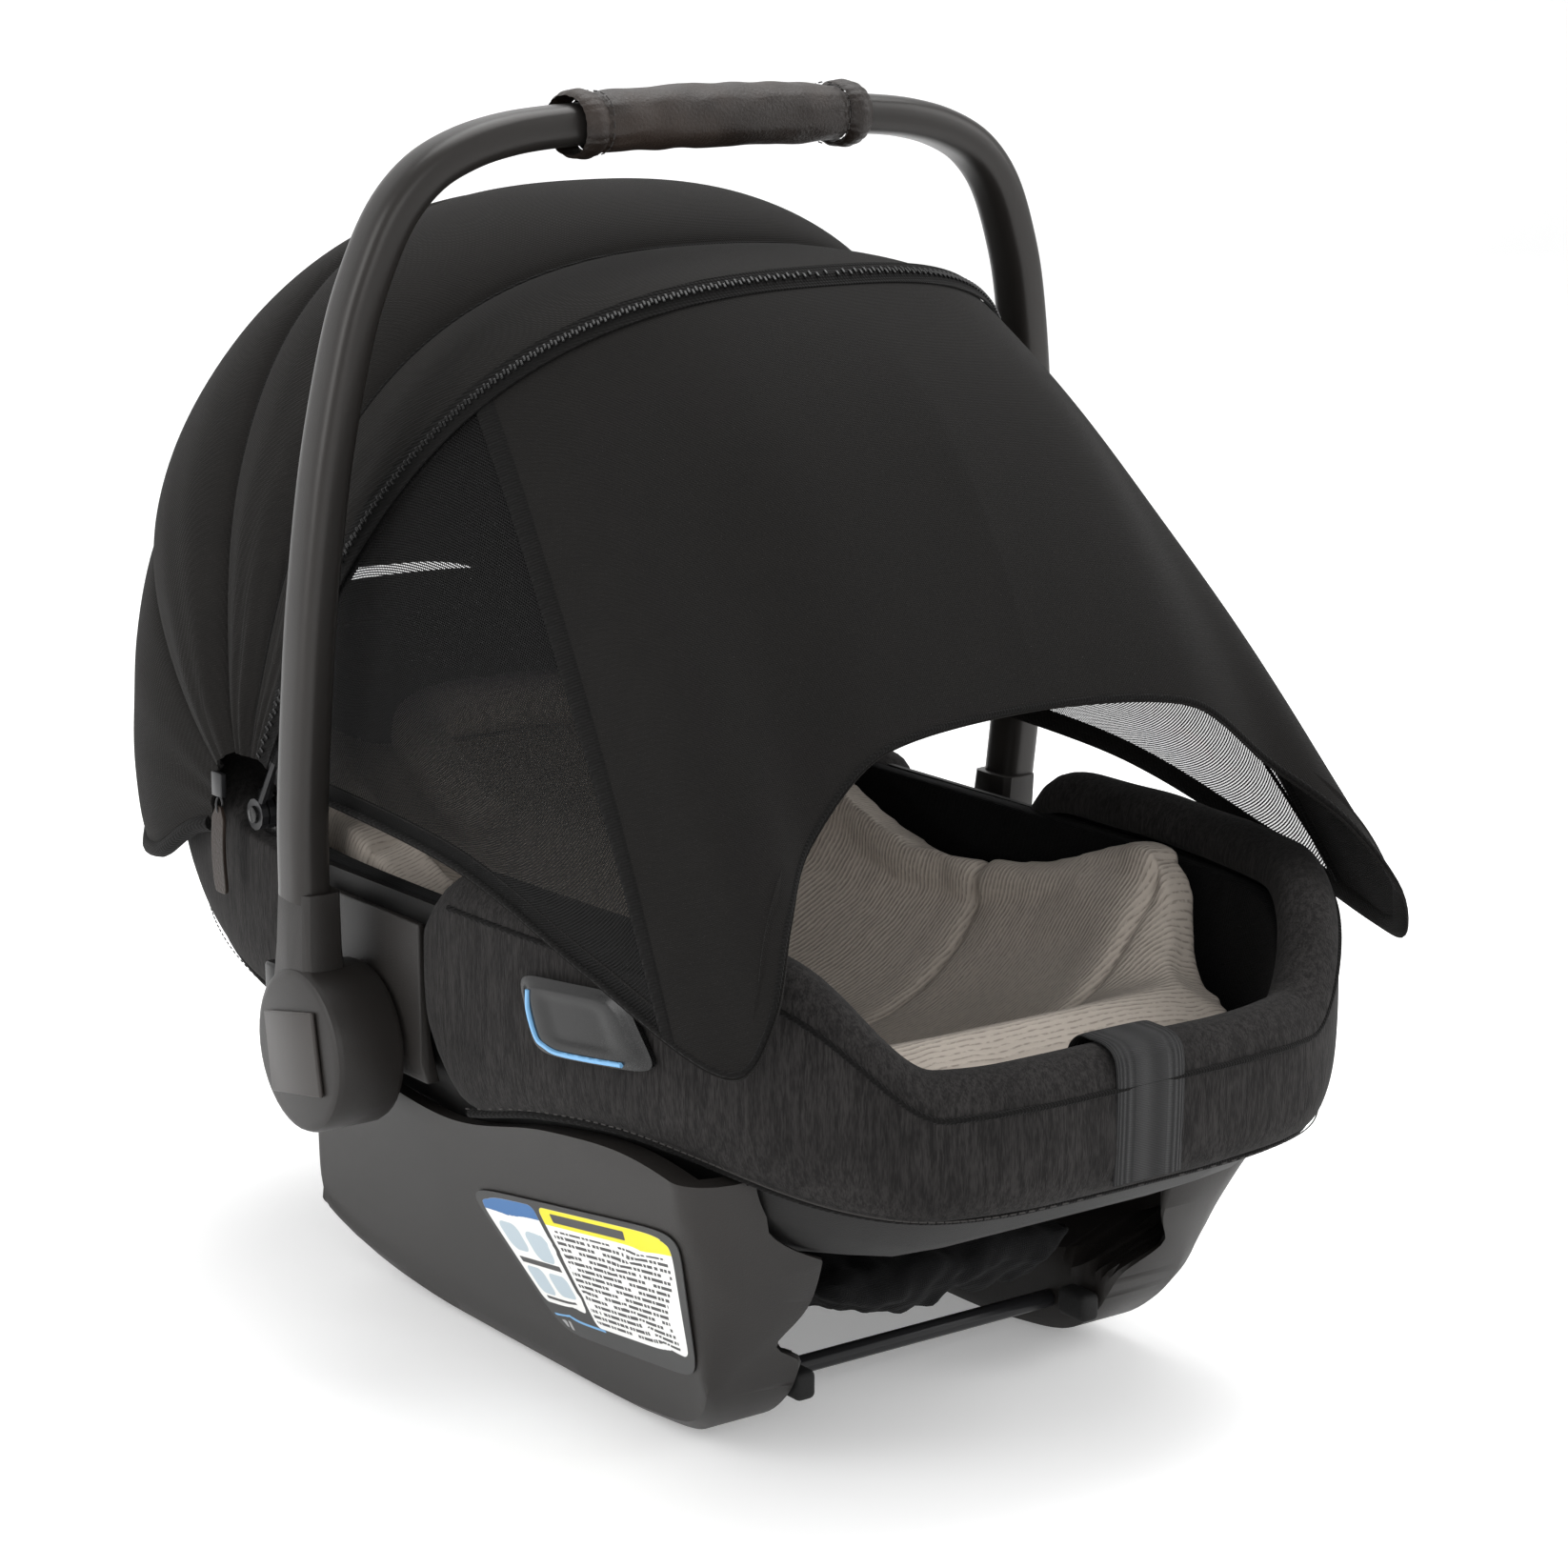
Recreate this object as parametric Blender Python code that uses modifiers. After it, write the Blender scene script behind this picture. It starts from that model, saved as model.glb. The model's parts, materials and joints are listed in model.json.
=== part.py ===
"""Infant car seat with rocker base, folding carry handle, folding canopy and front drape.

Metres, +Z up.  -Y is the foot end, +Y the head end, X runs across.  The origin is the centre
of the footprint, on the ground that the rocker stands on.
"""
import math

import bmesh
import bpy
from mathutils import Matrix, Vector

# ---------------------------------------------------------------- driving dimensions
GAP = 0.0003              # clearance between two pieces that meet
SOFT_GAP = 0.001          # clearance round soft goods
FACET_GAP = 0.0018        # clearance between curved walls that are faceted differently

SHELL_HALF_WIDTH = 0.176
SHELL_FOOT_LENGTH = 0.3255
SHELL_HEAD_LENGTH = 0.328
SHELL_FOOT_SQUARENESS = 4.0
SHELL_HEAD_SQUARENESS = 2.7
SHELL_WALL_SQUARENESS = 3.5
SHELL_WALL = 0.0035
SHELL_FLOOR = 0.078       # underside of the tub above the ground
FLOOR_HEAD_RISE = 0.088
FLOOR_FOOT_RISE = 0.020
RIM_SIDE = 0.230
RIM_FRONT = 0.180
RIM_HEAD = 0.285
RIM_CORNER_X = (SHELL_HALF_WIDTH - 0.078, SHELL_HALF_WIDTH - 0.020)

COVER_THICKNESS = 0.0085
LINER_THICKNESS = 0.012
RIM_PAD_RADIUS = 0.011
RIM_PAD_LIFT = 0.0035     # clearance between the round pad and the rim, for the steep corners
COVER_REAR_EDGE = -0.045  # the front cover stops here, ahead of the handle hub
HEAD_COVER_EDGE = 0.056   # the head cover starts here, behind the handle hub
HEM_GAP = 0.0075          # the rocker ends this far below the hem line of the cover

ROCKER_FOOT_X = (0.089, 0.121)
ROCKER_TOP_X = SHELL_HALF_WIDTH + 0.0055
ROCKER_WALL = 0.012
ROCKER_LEAN_HEIGHT = 0.155
ROCKER_SKID_HEIGHT = 0.055
ROCKER_FRONT_X = 0.100    # the front ends turn in this near to the middle
ROCKER_FRONT_BAND = 0.030
ROCKER_FRONT_ROUND = 0.030
ROCKER_ROUND_HEIGHT = 0.050
HUB_MOUNT_BOTTOM = 0.1455
HUB_MOUNT_TOP = 0.222
BAR_RADIUS = 0.0045

HUB_Y = 0.008
HUB_Z = 0.157
HUB_RADIUS = 0.039
HUB_INNER_X = ROCKER_TOP_X + 0.001
HUB_DEPTH = 0.039
HUB_OUTER_X = HUB_INNER_X + HUB_DEPTH
HUB_WALL = 0.005
NECK_INNER_X = HUB_INNER_X + 0.010
BUTTON_X = (HUB_INNER_X + 0.0115, HUB_INNER_X + 0.0255)
NECK_HALF_DEPTH = 0.0165
NECK_TOP = 0.2315
BOSS_RADIUS = 0.012
PLATE_THICKNESS = 0.0028

HANDLE_LEAN = 0.0909      # forward lean of the handle per metre of height
TUBE_WIDTH = 0.026        # across the wide face, along the carrying direction
TUBE_DEPTH = 0.019
GRIP_HALF_LENGTH = 0.068
GRIP_THICKNESS = 0.0042
CUFF_LENGTH = 0.011
CUFF_THICKNESS = 0.0055

CANOPY_Y = 0.100
CANOPY_Z = 0.247
BOW_RADIUS = 0.002
BOW_SPACING = 0.0045
BRACKET_X = (SHELL_HALF_WIDTH - 0.0015, SHELL_HALF_WIDTH + 0.0025)
PIN_RADIUS = 0.004
PANEL_THICKNESS = 0.0016
FABRIC_HALF_WIDTH = SHELL_HALF_WIDTH + 0.0155
TAB_PIVOT_DROP = 0.003    # the tab swings about a point this far below the slider
TAB_THICKNESS = 0.002
FABRIC_START = 0.05       # turn along the bow where the fabric's lower corner is

SEAT_FLOOR_LIFT = 0.050   # top of the insert above the underside of the tub, mid seat
INSERT_SIDE = 0.026
INSERT_CLEARANCE = 0.005
INSERT_ENDS = (0.0495 - SHELL_FOOT_LENGTH, SHELL_HEAD_LENGTH - 0.103)
WEBBING_WIDTH = 0.025
WEBBING_THICKNESS = 0.0016
ADJUSTER_WIDTH = 0.038
LABEL_THICKNESS = 0.0006

SIDES = (("left", -1.0), ("right", 1.0))


# ---------------------------------------------------------------- collections and materials
def clear_scene():
    for item in list(bpy.data.objects):
        bpy.data.objects.remove(item, do_unlink=True)


def new_collection(name):
    group = bpy.data.collections.new(name)
    bpy.context.scene.collection.children.link(group)
    return group


clear_scene()
PARTS = new_collection("infant_car_seat")


def material(name, colour, roughness, metallic=0.0):
    finish = bpy.data.materials.new(name)
    finish.use_nodes = True
    shader = finish.node_tree.nodes["Principled BSDF"]
    shader.inputs["Base Color"].default_value = (*colour, 1.0)
    shader.inputs["Roughness"].default_value = roughness
    shader.inputs["Metallic"].default_value = metallic
    return finish


PLASTIC = ("plastic", (0.028, 0.026, 0.025), 0.55)
TRIM = ("trim", (0.012, 0.012, 0.013), 0.35)
BRONZE = ("bronze", (0.060, 0.054, 0.050), 0.38, 0.8)
LEATHER = ("leather", (0.052, 0.036, 0.028), 0.50)
HEATHER = ("heather", (0.060, 0.060, 0.064), 0.90)
CANOPY = ("canopy", (0.020, 0.019, 0.018), 0.85)
INSERT = ("insert", (0.330, 0.290, 0.250), 0.90)
LINER = ("liner", (0.010, 0.010, 0.011), 0.85)
WEBBING = ("webbing", (0.015, 0.015, 0.016), 0.60)
STEEL = ("steel", (0.080, 0.080, 0.085), 0.40, 0.9)
RUBBER = ("rubber", (0.015, 0.015, 0.015), 0.80)
LABEL = ("label", (0.800, 0.800, 0.780), 0.45)
PLATE = ("plate", (0.110, 0.102, 0.096), 0.35, 0.6)
RED = ("red", (0.450, 0.020, 0.015), 0.40)


# ---------------------------------------------------------------- mesh helpers
def put(item, name, finish):
    """Names an object, gives it its own material and files it with the parts."""
    item.name = name
    for group in list(item.users_collection):
        group.objects.unlink(item)
    PARTS.objects.link(item)
    item.data.materials.clear()
    item.data.materials.append(material(name + "_" + finish[0], *finish[1:]))
    return item


def object_from(shape, name):
    mesh = bpy.data.meshes.new(name)
    shape.to_mesh(mesh)
    shape.free()
    mesh.shade_smooth()
    mesh.set_sharp_from_angle(angle=math.radians(38))
    item = bpy.data.objects.new(name, mesh)
    bpy.context.scene.collection.objects.link(item)
    return item


def sheet(name, rows, closed=False, pole=None):
    """An open surface through rows of points; the normal is (along a row) x (row to row)."""
    shape = bmesh.new()
    grid = [[shape.verts.new(point) for point in row] for row in rows]
    count = len(rows[0])
    steps = count if closed else count - 1
    for low, high in zip(grid, grid[1:]):
        for k in range(steps):
            after = (k + 1) % count
            shape.faces.new((low[k], low[after], high[after], high[k]))
    if pole:
        centre = shape.verts.new(pole)
        for k in range(steps):
            shape.faces.new((grid[0][(k + 1) % count], grid[0][k], centre))
    return object_from(shape, name)


def loft(name, rings):
    """A closed solid through rings of points, with a flat face at each end."""
    shape = bmesh.new()
    grid = [[shape.verts.new(point) for point in ring] for ring in rings]
    count = len(rings[0])
    for low, high in zip(grid, grid[1:]):
        for k in range(count):
            after = (k + 1) % count
            shape.faces.new((low[k], low[after], high[after], high[k]))
    shape.faces.new(list(reversed(grid[0])))
    shape.faces.new(grid[-1])
    bmesh.ops.recalc_face_normals(shape, faces=shape.faces)
    return object_from(shape, name)


def layer(item, side, distance, thickness):
    """Solidify that lays a wall beside a surface: side is 1 for outwards and -1 for inwards."""
    wall = item.modifiers.new("wall", "SOLIDIFY")
    wall.thickness = thickness
    wall.offset = side * (1.0 + 2.0 * distance / thickness)
    wall.use_even_offset = True
    return item


def apply_all(item):
    """Fixes an object's modifiers and its place into its mesh."""
    bpy.context.view_layer.update()
    source = item.evaluated_get(bpy.context.evaluated_depsgraph_get())
    mesh = bpy.data.meshes.new_from_object(source)
    shape = bmesh.new()
    shape.from_mesh(mesh)
    bmesh.ops.remove_doubles(shape, verts=shape.verts, dist=0.00001)
    shape.transform(item.matrix_world)
    shape.to_mesh(mesh)
    shape.free()
    name = item.name
    bpy.data.objects.remove(item, do_unlink=True)
    solid = bpy.data.objects.new(name, mesh)
    bpy.context.scene.collection.objects.link(solid)
    mesh.shade_smooth()
    mesh.set_sharp_from_angle(angle=math.radians(38))
    return solid


def combine(item, other, operation):
    """One applied Boolean; the other solid is used up."""
    cut = item.modifiers.new("combine", "BOOLEAN")
    cut.operation = operation
    cut.solver = "EXACT"
    cut.object = other
    result = apply_all(item)
    bpy.data.objects.remove(other, do_unlink=True)
    return result


def round_edges(item, width, segments=2):
    edge = item.modifiers.new("round", "BEVEL")
    edge.width = width
    edge.segments = segments
    edge.limit_method = "ANGLE"
    edge.angle_limit = math.radians(40)
    return item


def block(low, high, radius=0.0, segments=2):
    """A box between two corners, with rounded edges."""
    centre = [(a + b) / 2 for a, b in zip(low, high)]
    bpy.ops.mesh.primitive_cube_add(size=1.0, location=centre)
    item = bpy.context.object
    item.scale = [b - a for a, b in zip(low, high)]
    bpy.ops.object.transform_apply(location=True, rotation=False, scale=True)
    if radius:
        round_edges(item, radius, segments)
    return item


def drum(radius, x_range, y, z, sides=32, radius_out=None):
    """A cylinder or cone along X between two distances from the middle plane."""
    bpy.ops.mesh.primitive_cone_add(
        vertices=sides, radius1=radius, radius2=radius_out or radius,
        depth=x_range[1] - x_range[0], location=(sum(x_range) / 2, y, z),
        rotation=(0, math.pi / 2, 0))
    bpy.ops.object.transform_apply(location=True, rotation=True, scale=True)
    return bpy.context.object


def ring_on_x(outer, inner, x_range, y, z, sides=28):
    """A washer round an axis along X, turned from its section."""
    low, high = x_range
    section = [(outer, 0, high), (outer, 0, low), (inner, 0, low), (inner, 0, high)]
    shape = bmesh.new()
    points = [shape.verts.new(point) for point in section]
    for k in range(len(points)):
        shape.edges.new((points[k], points[(k + 1) % len(points)]))
    item = object_from(shape, "ring")
    turn = item.modifiers.new("turn", "SCREW")
    turn.steps = sides
    turn.render_steps = sides
    turn.use_merge_vertices = True
    turn.merge_threshold = 0.00001
    item.rotation_euler = (0, math.pi / 2, 0)
    item.location = (0, y, z)
    return apply_all(item)


def tube(points, radius, resolution=2):
    """A round rod along a poly line, with closed ends, as a mesh."""
    curve = bpy.data.curves.new("rod", "CURVE")
    curve.dimensions = "3D"
    curve.bevel_depth = radius
    curve.bevel_resolution = resolution
    curve.use_fill_caps = True
    spline = curve.splines.new("POLY")
    spline.points.add(len(points) - 1)
    for knot, point in zip(spline.points, points):
        knot.co = (*point, 1.0)
    item = bpy.data.objects.new("rod", curve)
    bpy.context.scene.collection.objects.link(item)
    return apply_all(item)


def sweep(name, points, across, section):
    """A section (a, b) carried along a path: a lies on the direction across, b off it."""
    rings = []
    for k, point in enumerate(points):
        before = points[max(k - 1, 0)]
        after = points[min(k + 1, len(points) - 1)]
        along = (Vector(after) - Vector(before)).normalized()
        side = Vector(across[k] if isinstance(across, list) else across)
        side = (side - along * side.dot(along)).normalized()
        off = along.cross(side)
        rings.append([tuple(Vector(point) + side * a + off * b) for a, b in section])
    return loft(name, rings)


def rectangle(width, thickness):
    return [(-width / 2, -thickness / 2), (width / 2, -thickness / 2),
            (width / 2, thickness / 2), (-width / 2, thickness / 2)]


def oval(width, depth, count=12, power=2.6):
    """Closed superellipse, width across by depth."""
    points = []
    for k in range(count):
        turn = 2 * math.pi * k / count
        points.append((rounded(math.cos(turn), power) * width / 2,
                       rounded(math.sin(turn), power) * depth / 2))
    return points


def rounded(value, power):
    return math.copysign(abs(value) ** (2.0 / power), value)


def between(knots, t):
    """Smooth value through (t, value) knots, level at the two ends."""
    if t <= knots[0][0]:
        return knots[0][1]
    if t >= knots[-1][0]:
        return knots[-1][1]
    slopes = [0.0]
    for k in range(1, len(knots) - 1):
        slopes.append((knots[k + 1][1] - knots[k - 1][1]) / (knots[k + 1][0] - knots[k - 1][0]))
    slopes.append(0.0)
    for k in range(len(knots) - 1):
        t0, v0 = knots[k]
        t1, v1 = knots[k + 1]
        if t <= t1:
            span = t1 - t0
            s = (t - t0) / span
            return (v0 * (1 + 2 * s) * (1 - s) ** 2 + slopes[k] * span * s * (1 - s) ** 2
                    + v1 * s * s * (3 - 2 * s) + slopes[k + 1] * span * s * s * (s - 1))


def smooth_step(low, high, value):
    s = min(max((value - low) / (high - low), 0.0), 1.0)
    return s * s * (3 - 2 * s)


def spread(low, high, count):
    return [low + (high - low) * k / (count - 1) for k in range(count)]


# ---------------------------------------------------------------- the tub's master surface
def floor_height(y):
    """Underside of the tub along its middle."""
    if y > 0.03:
        return SHELL_FLOOR + FLOOR_HEAD_RISE * ((y - 0.03) / (SHELL_HEAD_LENGTH - 0.03)) ** 1.4
    if y < -0.12:
        return SHELL_FLOOR + FLOOR_FOOT_RISE * ((-0.12 - y) / (SHELL_FOOT_LENGTH - 0.12)) ** 1.5
    return SHELL_FLOOR


def rim_height(x, y):
    if y < 0:
        return RIM_FRONT + (RIM_SIDE - RIM_FRONT) * smooth_step(*RIM_CORNER_X, abs(x))
    return RIM_SIDE + (RIM_HEAD - RIM_SIDE) * smooth_step(CANOPY_Y, SHELL_HEAD_LENGTH, y)


def rim_point(angle):
    """Rim of the tub at an angle, counted round from +X."""
    along = math.sin(angle)
    if along < 0:
        power, length = SHELL_FOOT_SQUARENESS, SHELL_FOOT_LENGTH
    else:
        power, length = SHELL_HEAD_SQUARENESS, SHELL_HEAD_LENGTH
    x = rounded(math.cos(angle), power) * SHELL_HALF_WIDTH
    y = rounded(along, power) * length
    return x, y, rim_height(x, y)


def rim_angle(y):
    """Angle of the rim point on the +X side that has this y."""
    if y < 0:
        return -math.asin((-y / SHELL_FOOT_LENGTH) ** (SHELL_FOOT_SQUARENESS / 2))
    return math.asin((y / SHELL_HEAD_LENGTH) ** (SHELL_HEAD_SQUARENESS / 2))


def tub_point(angle, reach):
    """Outer surface of the tub; reach is 0 at the middle of the floor and 1 at the rim."""
    x, y, rim = rim_point(angle)
    turn = reach * math.pi / 2
    out = math.sin(turn) ** (2 / SHELL_WALL_SQUARENESS)
    up = 1 - abs(math.cos(turn)) ** (2 / SHELL_WALL_SQUARENESS)
    floor = floor_height(y * out)
    return x * out, y * out, floor + (rim - floor) * up


def reach_at(angle, height):
    """Reach where the tub's wall passes a height."""
    low, high = 0.3, 1.0
    for _ in range(30):
        middle = (low + high) / 2
        if tub_point(angle, middle)[2] < height:
            low = middle
        else:
            high = middle
    return high


def tub_height(x, y):
    """Height of the tub's outer surface over a place in plan."""
    foot = y < 0
    power = SHELL_FOOT_SQUARENESS if foot else SHELL_HEAD_SQUARENESS
    length = SHELL_FOOT_LENGTH if foot else SHELL_HEAD_LENGTH
    out = (abs(x / SHELL_HALF_WIDTH) ** power + abs(y / length) ** power) ** (1 / power)
    out = min(max(out, 0.001), 0.9999)
    rim = rim_height(x / out, y / out)
    up = 1 - (1 - out ** SHELL_WALL_SQUARENESS) ** (1 / SHELL_WALL_SQUARENESS)
    return floor_height(y) + (rim - floor_height(y)) * up


def tub_half_width(y, z):
    """Half the tub's outer width at a place along it and a height."""
    low, high = 0.0, rim_point(rim_angle(y))[0]
    for _ in range(30):
        middle = (low + high) / 2
        if tub_height(middle, y) < z:
            low = middle
        else:
            high = middle
    return high


def inside_tub(x, y, depth):
    """The point that lies square in from the tub's outer surface by a depth."""
    step = 0.0005
    across = (tub_height(x + step, y) - tub_height(x - step, y)) / (2 * step)
    along = (tub_height(x, y + step) - tub_height(x, y - step)) / (2 * step)
    normal = Vector((-across, -along, 1)).normalized()
    return Vector((x, y, tub_height(x, y))) + normal * depth


def tub_patch(name, angles, reaches_at, closed=False, pole=None):
    rows = []
    for step in range(len(reaches_at(angles[0]))):
        rows.append([tub_point(angle, reaches_at(angle)[step]) for angle in angles])
    return sheet(name, rows, closed, pole)


TUB_ANGLES = [2 * math.pi * k / 40 for k in range(40)]
TUB_REACHES = [0.03, 0.14, 0.34, 0.52, 0.66, 0.80, 1.0]
TUB_POLE = (0, 0, floor_height(0))


def build_tub():
    tub = tub_patch("shell", TUB_ANGLES, lambda angle: TUB_REACHES, True, TUB_POLE)
    layer(tub, -1, 0.0, SHELL_WALL)
    return put(tub, "shell", PLASTIC)


def build_liner():
    liner = tub_patch("liner", TUB_ANGLES, lambda angle: TUB_REACHES, True, TUB_POLE)
    layer(liner, -1, SHELL_WALL + SOFT_GAP, LINER_THICKNESS)
    return put(liner, "liner", LINER)


# ---------------------------------------------------------------- seat cover
def hem_height(y):
    """Lower edge of the cover round the tub."""
    knots = [(-0.337, 0.144), (-0.300, 0.150), (-0.245, 0.162), (-0.200, 0.165), (-0.142, 0.158),
             (-0.045, 0.138), (0.056, 0.150), (0.200, 0.172), (0.290, 0.196), (0.326, 0.205)]
    return between(knots, y)


def cover_angles(start_y, count):
    """Angles from the +X side round one end of the tub to the -X side."""
    start = rim_angle(start_y)
    if start_y < 0:
        return spread(-math.pi - start, start, count)
    return spread(start, math.pi - start, count)


def build_covers():
    for name, start_y, count in (("seat_cover_front", COVER_REAR_EDGE, 34),
                                 ("seat_cover_head", HEAD_COVER_EDGE, 32)):
        def reaches(angle):
            hem = reach_at(angle, hem_height(rim_point(angle)[1]))
            return spread(hem, 1.0, 4)
        cover = tub_patch(name, cover_angles(start_y, count), reaches)
        layer(cover, 1, FACET_GAP, COVER_THICKNESS)
        put(cover, name, HEATHER)


def build_rim_pads():
    """Round pads that sit on the rim: one round the foot end, one round the head."""
    for name, start_y, count in (("rim_pad_front", COVER_REAR_EDGE + 0.004, 36),
                                 ("rim_pad_head", CANOPY_Y + 0.030, 24)):
        rim = []
        for angle in cover_angles(start_y, count):
            x, y, z = rim_point(angle)
            inset = 1 - 0.003 / math.hypot(x, y)
            rim.append(Vector((x * inset, y * inset, z)))
        path = []
        for k, point in enumerate(rim):
            along = (rim[min(k + 1, count - 1)] - rim[max(k - 1, 0)]).normalized()
            up = (Vector((0, 0, 1)) - along * along.z).normalized()
            path.append(point + up * (RIM_PAD_RADIUS + RIM_PAD_LIFT))
        put(tube(path, RIM_PAD_RADIUS, 1), name, HEATHER)


# ---------------------------------------------------------------- infant insert
def seat_surface(y):
    """Top of the insert along the middle: thigh ramp, seat, then the back up to the head."""
    seat = SHELL_FLOOR + SEAT_FLOOR_LIFT
    knots = [(-0.282, seat + 0.062), (-0.240, seat + 0.058), (-0.200, seat + 0.030), (-0.110, seat + 0.006),
             (-0.020, seat), (0.060, seat + 0.022), (0.150, seat + 0.078), (0.262, seat + 0.140)]
    return between(knots, y)


def bowl_height(y):
    """Height on the tub's wall that the insert's outer bowl is measured at."""
    knots = [(-0.282, 0.186), (-0.225, 0.201), (-0.190, 0.232), (-0.060, 0.224), (0.060, 0.232),
             (0.150, 0.258), (0.262, 0.286)]
    return between(knots, y)


def wing_height(y):
    """Top of the insert's padded side: a wing beside the legs, a dip, then the head wing."""
    knots = [(-0.282, 0.186), (-0.240, 0.190), (-0.222, 0.202), (-0.206, 0.234), (-0.190, 0.246),
             (-0.165, 0.243), (-0.113, 0.226), (-0.040, 0.211), (0.020, 0.220), (0.080, 0.240),
             (0.150, 0.260), (0.262, 0.288)]
    return between(knots, y)


def insert_half_width(y):
    """Half the width of the insert's outer bowl at the top of its side."""
    return tub_half_width(y, bowl_height(y)) * 0.985


def insert_ring(y, side):
    """Section of the insert: its outer bowl, then its inner hollow back again."""
    depth = SHELL_WALL + LINER_THICKNESS + 2 * SOFT_GAP + INSERT_CLEARANCE
    outer = insert_half_width(y)
    ring = []
    for turn in spread(-math.pi / 2, math.pi / 2, 15):
        ring.append(inside_tub(rounded(math.sin(turn), SHELL_WALL_SQUARENESS) * outer, y, depth))
    edge, middle = ring[0], ring[7]
    top = max(wing_height(y), edge.z + 0.004)
    reach = abs(edge.x) - side
    ring.append(Vector((abs(edge.x), edge.y, top)))
    hollow = max(seat_surface(y), middle.z + 0.006)
    for turn in spread(math.pi / 2, -math.pi / 2, 13):
        across = rounded(math.sin(turn), 2.4) * reach
        drop = abs(math.cos(turn)) ** (2 / 2.4)
        along = edge.y + (middle.y - edge.y) * drop
        ring.append(Vector((across, along, top - (top - hollow) * drop)))
    ring.append(Vector((edge.x, edge.y, top)))
    return ring


def build_insert():
    rings = [insert_ring(y, INSERT_SIDE) for y in spread(*INSERT_ENDS, 26)]
    put(loft("infant_insert", rings), "infant_insert", INSERT)


def build_head_support():
    """Horseshoe pillow that lies in the hollow of the insert at the head."""
    path = []
    for turn in spread(math.radians(-30), math.radians(210), 15):
        x = math.cos(turn) * 0.070
        y = 0.128 + math.sin(turn) * 0.062
        rise = 0.030 * (abs(math.cos(turn)) ** 2)
        path.append((x, y, seat_surface(y) + 0.029 + rise))
    pillow = tube(path, 0.017, 2)
    put(pillow, "head_support", INSERT)


# ---------------------------------------------------------------- rockers and base
ROCKER_BOTTOM = [(-0.256, 0.150), (-0.248, 0.123), (-0.235, 0.084), (-0.215, 0.048),
                 (-0.200, 0.024), (-0.178, 0.009), (-0.140, 0.0025), (-0.100, 0.0),
                 (0.030, 0.0), (0.092, 0.008), (0.122, 0.019), (0.137, 0.030)]
ROCKER_REAR = [(0.060, 0.150), (0.072, 0.1345), (0.090, 0.105), (0.110, 0.075), (0.125, 0.052),
               (0.137, 0.0315)]
ROCKER_LEAST_HEIGHT = 0.0015


def straight(knots, t):
    for (t0, v0), (t1, v1) in zip(knots, knots[1:]):
        if t <= t1:
            return v0 + (v1 - v0) * (t - t0) / (t1 - t0)
    return knots[-1][1]


def rocker_outer(z):
    lean = min(z / ROCKER_LEAN_HEIGHT, 1.0) ** 0.92
    return ROCKER_FOOT_X[1] + (ROCKER_TOP_X - ROCKER_FOOT_X[1]) * lean


def rocker_inner(y, z):
    if z <= ROCKER_SKID_HEIGHT:
        return ROCKER_FOOT_X[0]
    return max(rocker_outer(z) - ROCKER_WALL, tub_half_width(y, z) + FACET_GAP)


def side_ring(side, y, low, top):
    """Section of the side wall between two heights, clear of the tub."""
    levels = spread(low, top, 8)
    ring = [(side * rocker_outer(z), y, z) for z in levels]
    ring += [(side * min(rocker_inner(y, z), rocker_outer(z) - 0.0012), y, z)
             for z in reversed(levels)]
    return ring


def rocker_ring(side, y, low, top):
    """Section of a rocker; towards the front end it rounds off and turns in below the tub."""
    turn_in = 1 - smooth_step(-0.235, -0.205, y)
    band = low + min(ROCKER_FRONT_BAND, 0.4 * (top - low))
    levels = spread(low, band, 4) + spread(band, top, 7)[1:]
    outer, inner = [], []
    for z in levels:
        share = 1 - min((z - low) / ROCKER_ROUND_HEIGHT, 1.0)
        inset = ROCKER_FRONT_ROUND * turn_in * (1 - math.sqrt(1 - share ** 2))
        clear = tub_half_width(y, z) + FACET_GAP + 0.003 * turn_in
        face = max(rocker_outer(z) - inset, clear + 0.0024)
        wall = rocker_inner(y, z)
        if z <= band + 1e-6:
            wall += (ROCKER_FRONT_X - wall) * turn_in
        if z > ROCKER_SKID_HEIGHT:
            wall = max(wall, clear)
        outer.append((side * face, y, z))
        inner.append((side * min(wall, face - 0.0012), y, z))
    return outer + inner[::-1]


def build_rocker(name, side):
    stations = {y for y, z in ROCKER_BOTTOM + ROCKER_REAR}
    stations |= {-0.252, -0.242, -0.228, -0.222, -0.207, -0.075, -0.045, 0.0}
    rings = []
    for y in sorted(stations):
        low = straight(ROCKER_BOTTOM, y)
        top = hem_height(y) - HEM_GAP
        if y > ROCKER_REAR[0][0]:
            top = min(top, straight(ROCKER_REAR, y))
        rings.append(rocker_ring(side, y, low, max(top, low + ROCKER_LEAST_HEIGHT)))
    put(loft(name, rings), name, PLASTIC)


def build_hub_mount(name, side):
    """Side panel between the front and the head cover, which carries the handle's pivot."""
    stations = spread(COVER_REAR_EDGE + 4 * SOFT_GAP, HEAD_COVER_EDGE - 4 * SOFT_GAP, 6)
    rings = [side_ring(side, y, HUB_MOUNT_BOTTOM, HUB_MOUNT_TOP) for y in stations]
    put(loft(name, rings), name, TRIM)


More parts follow.
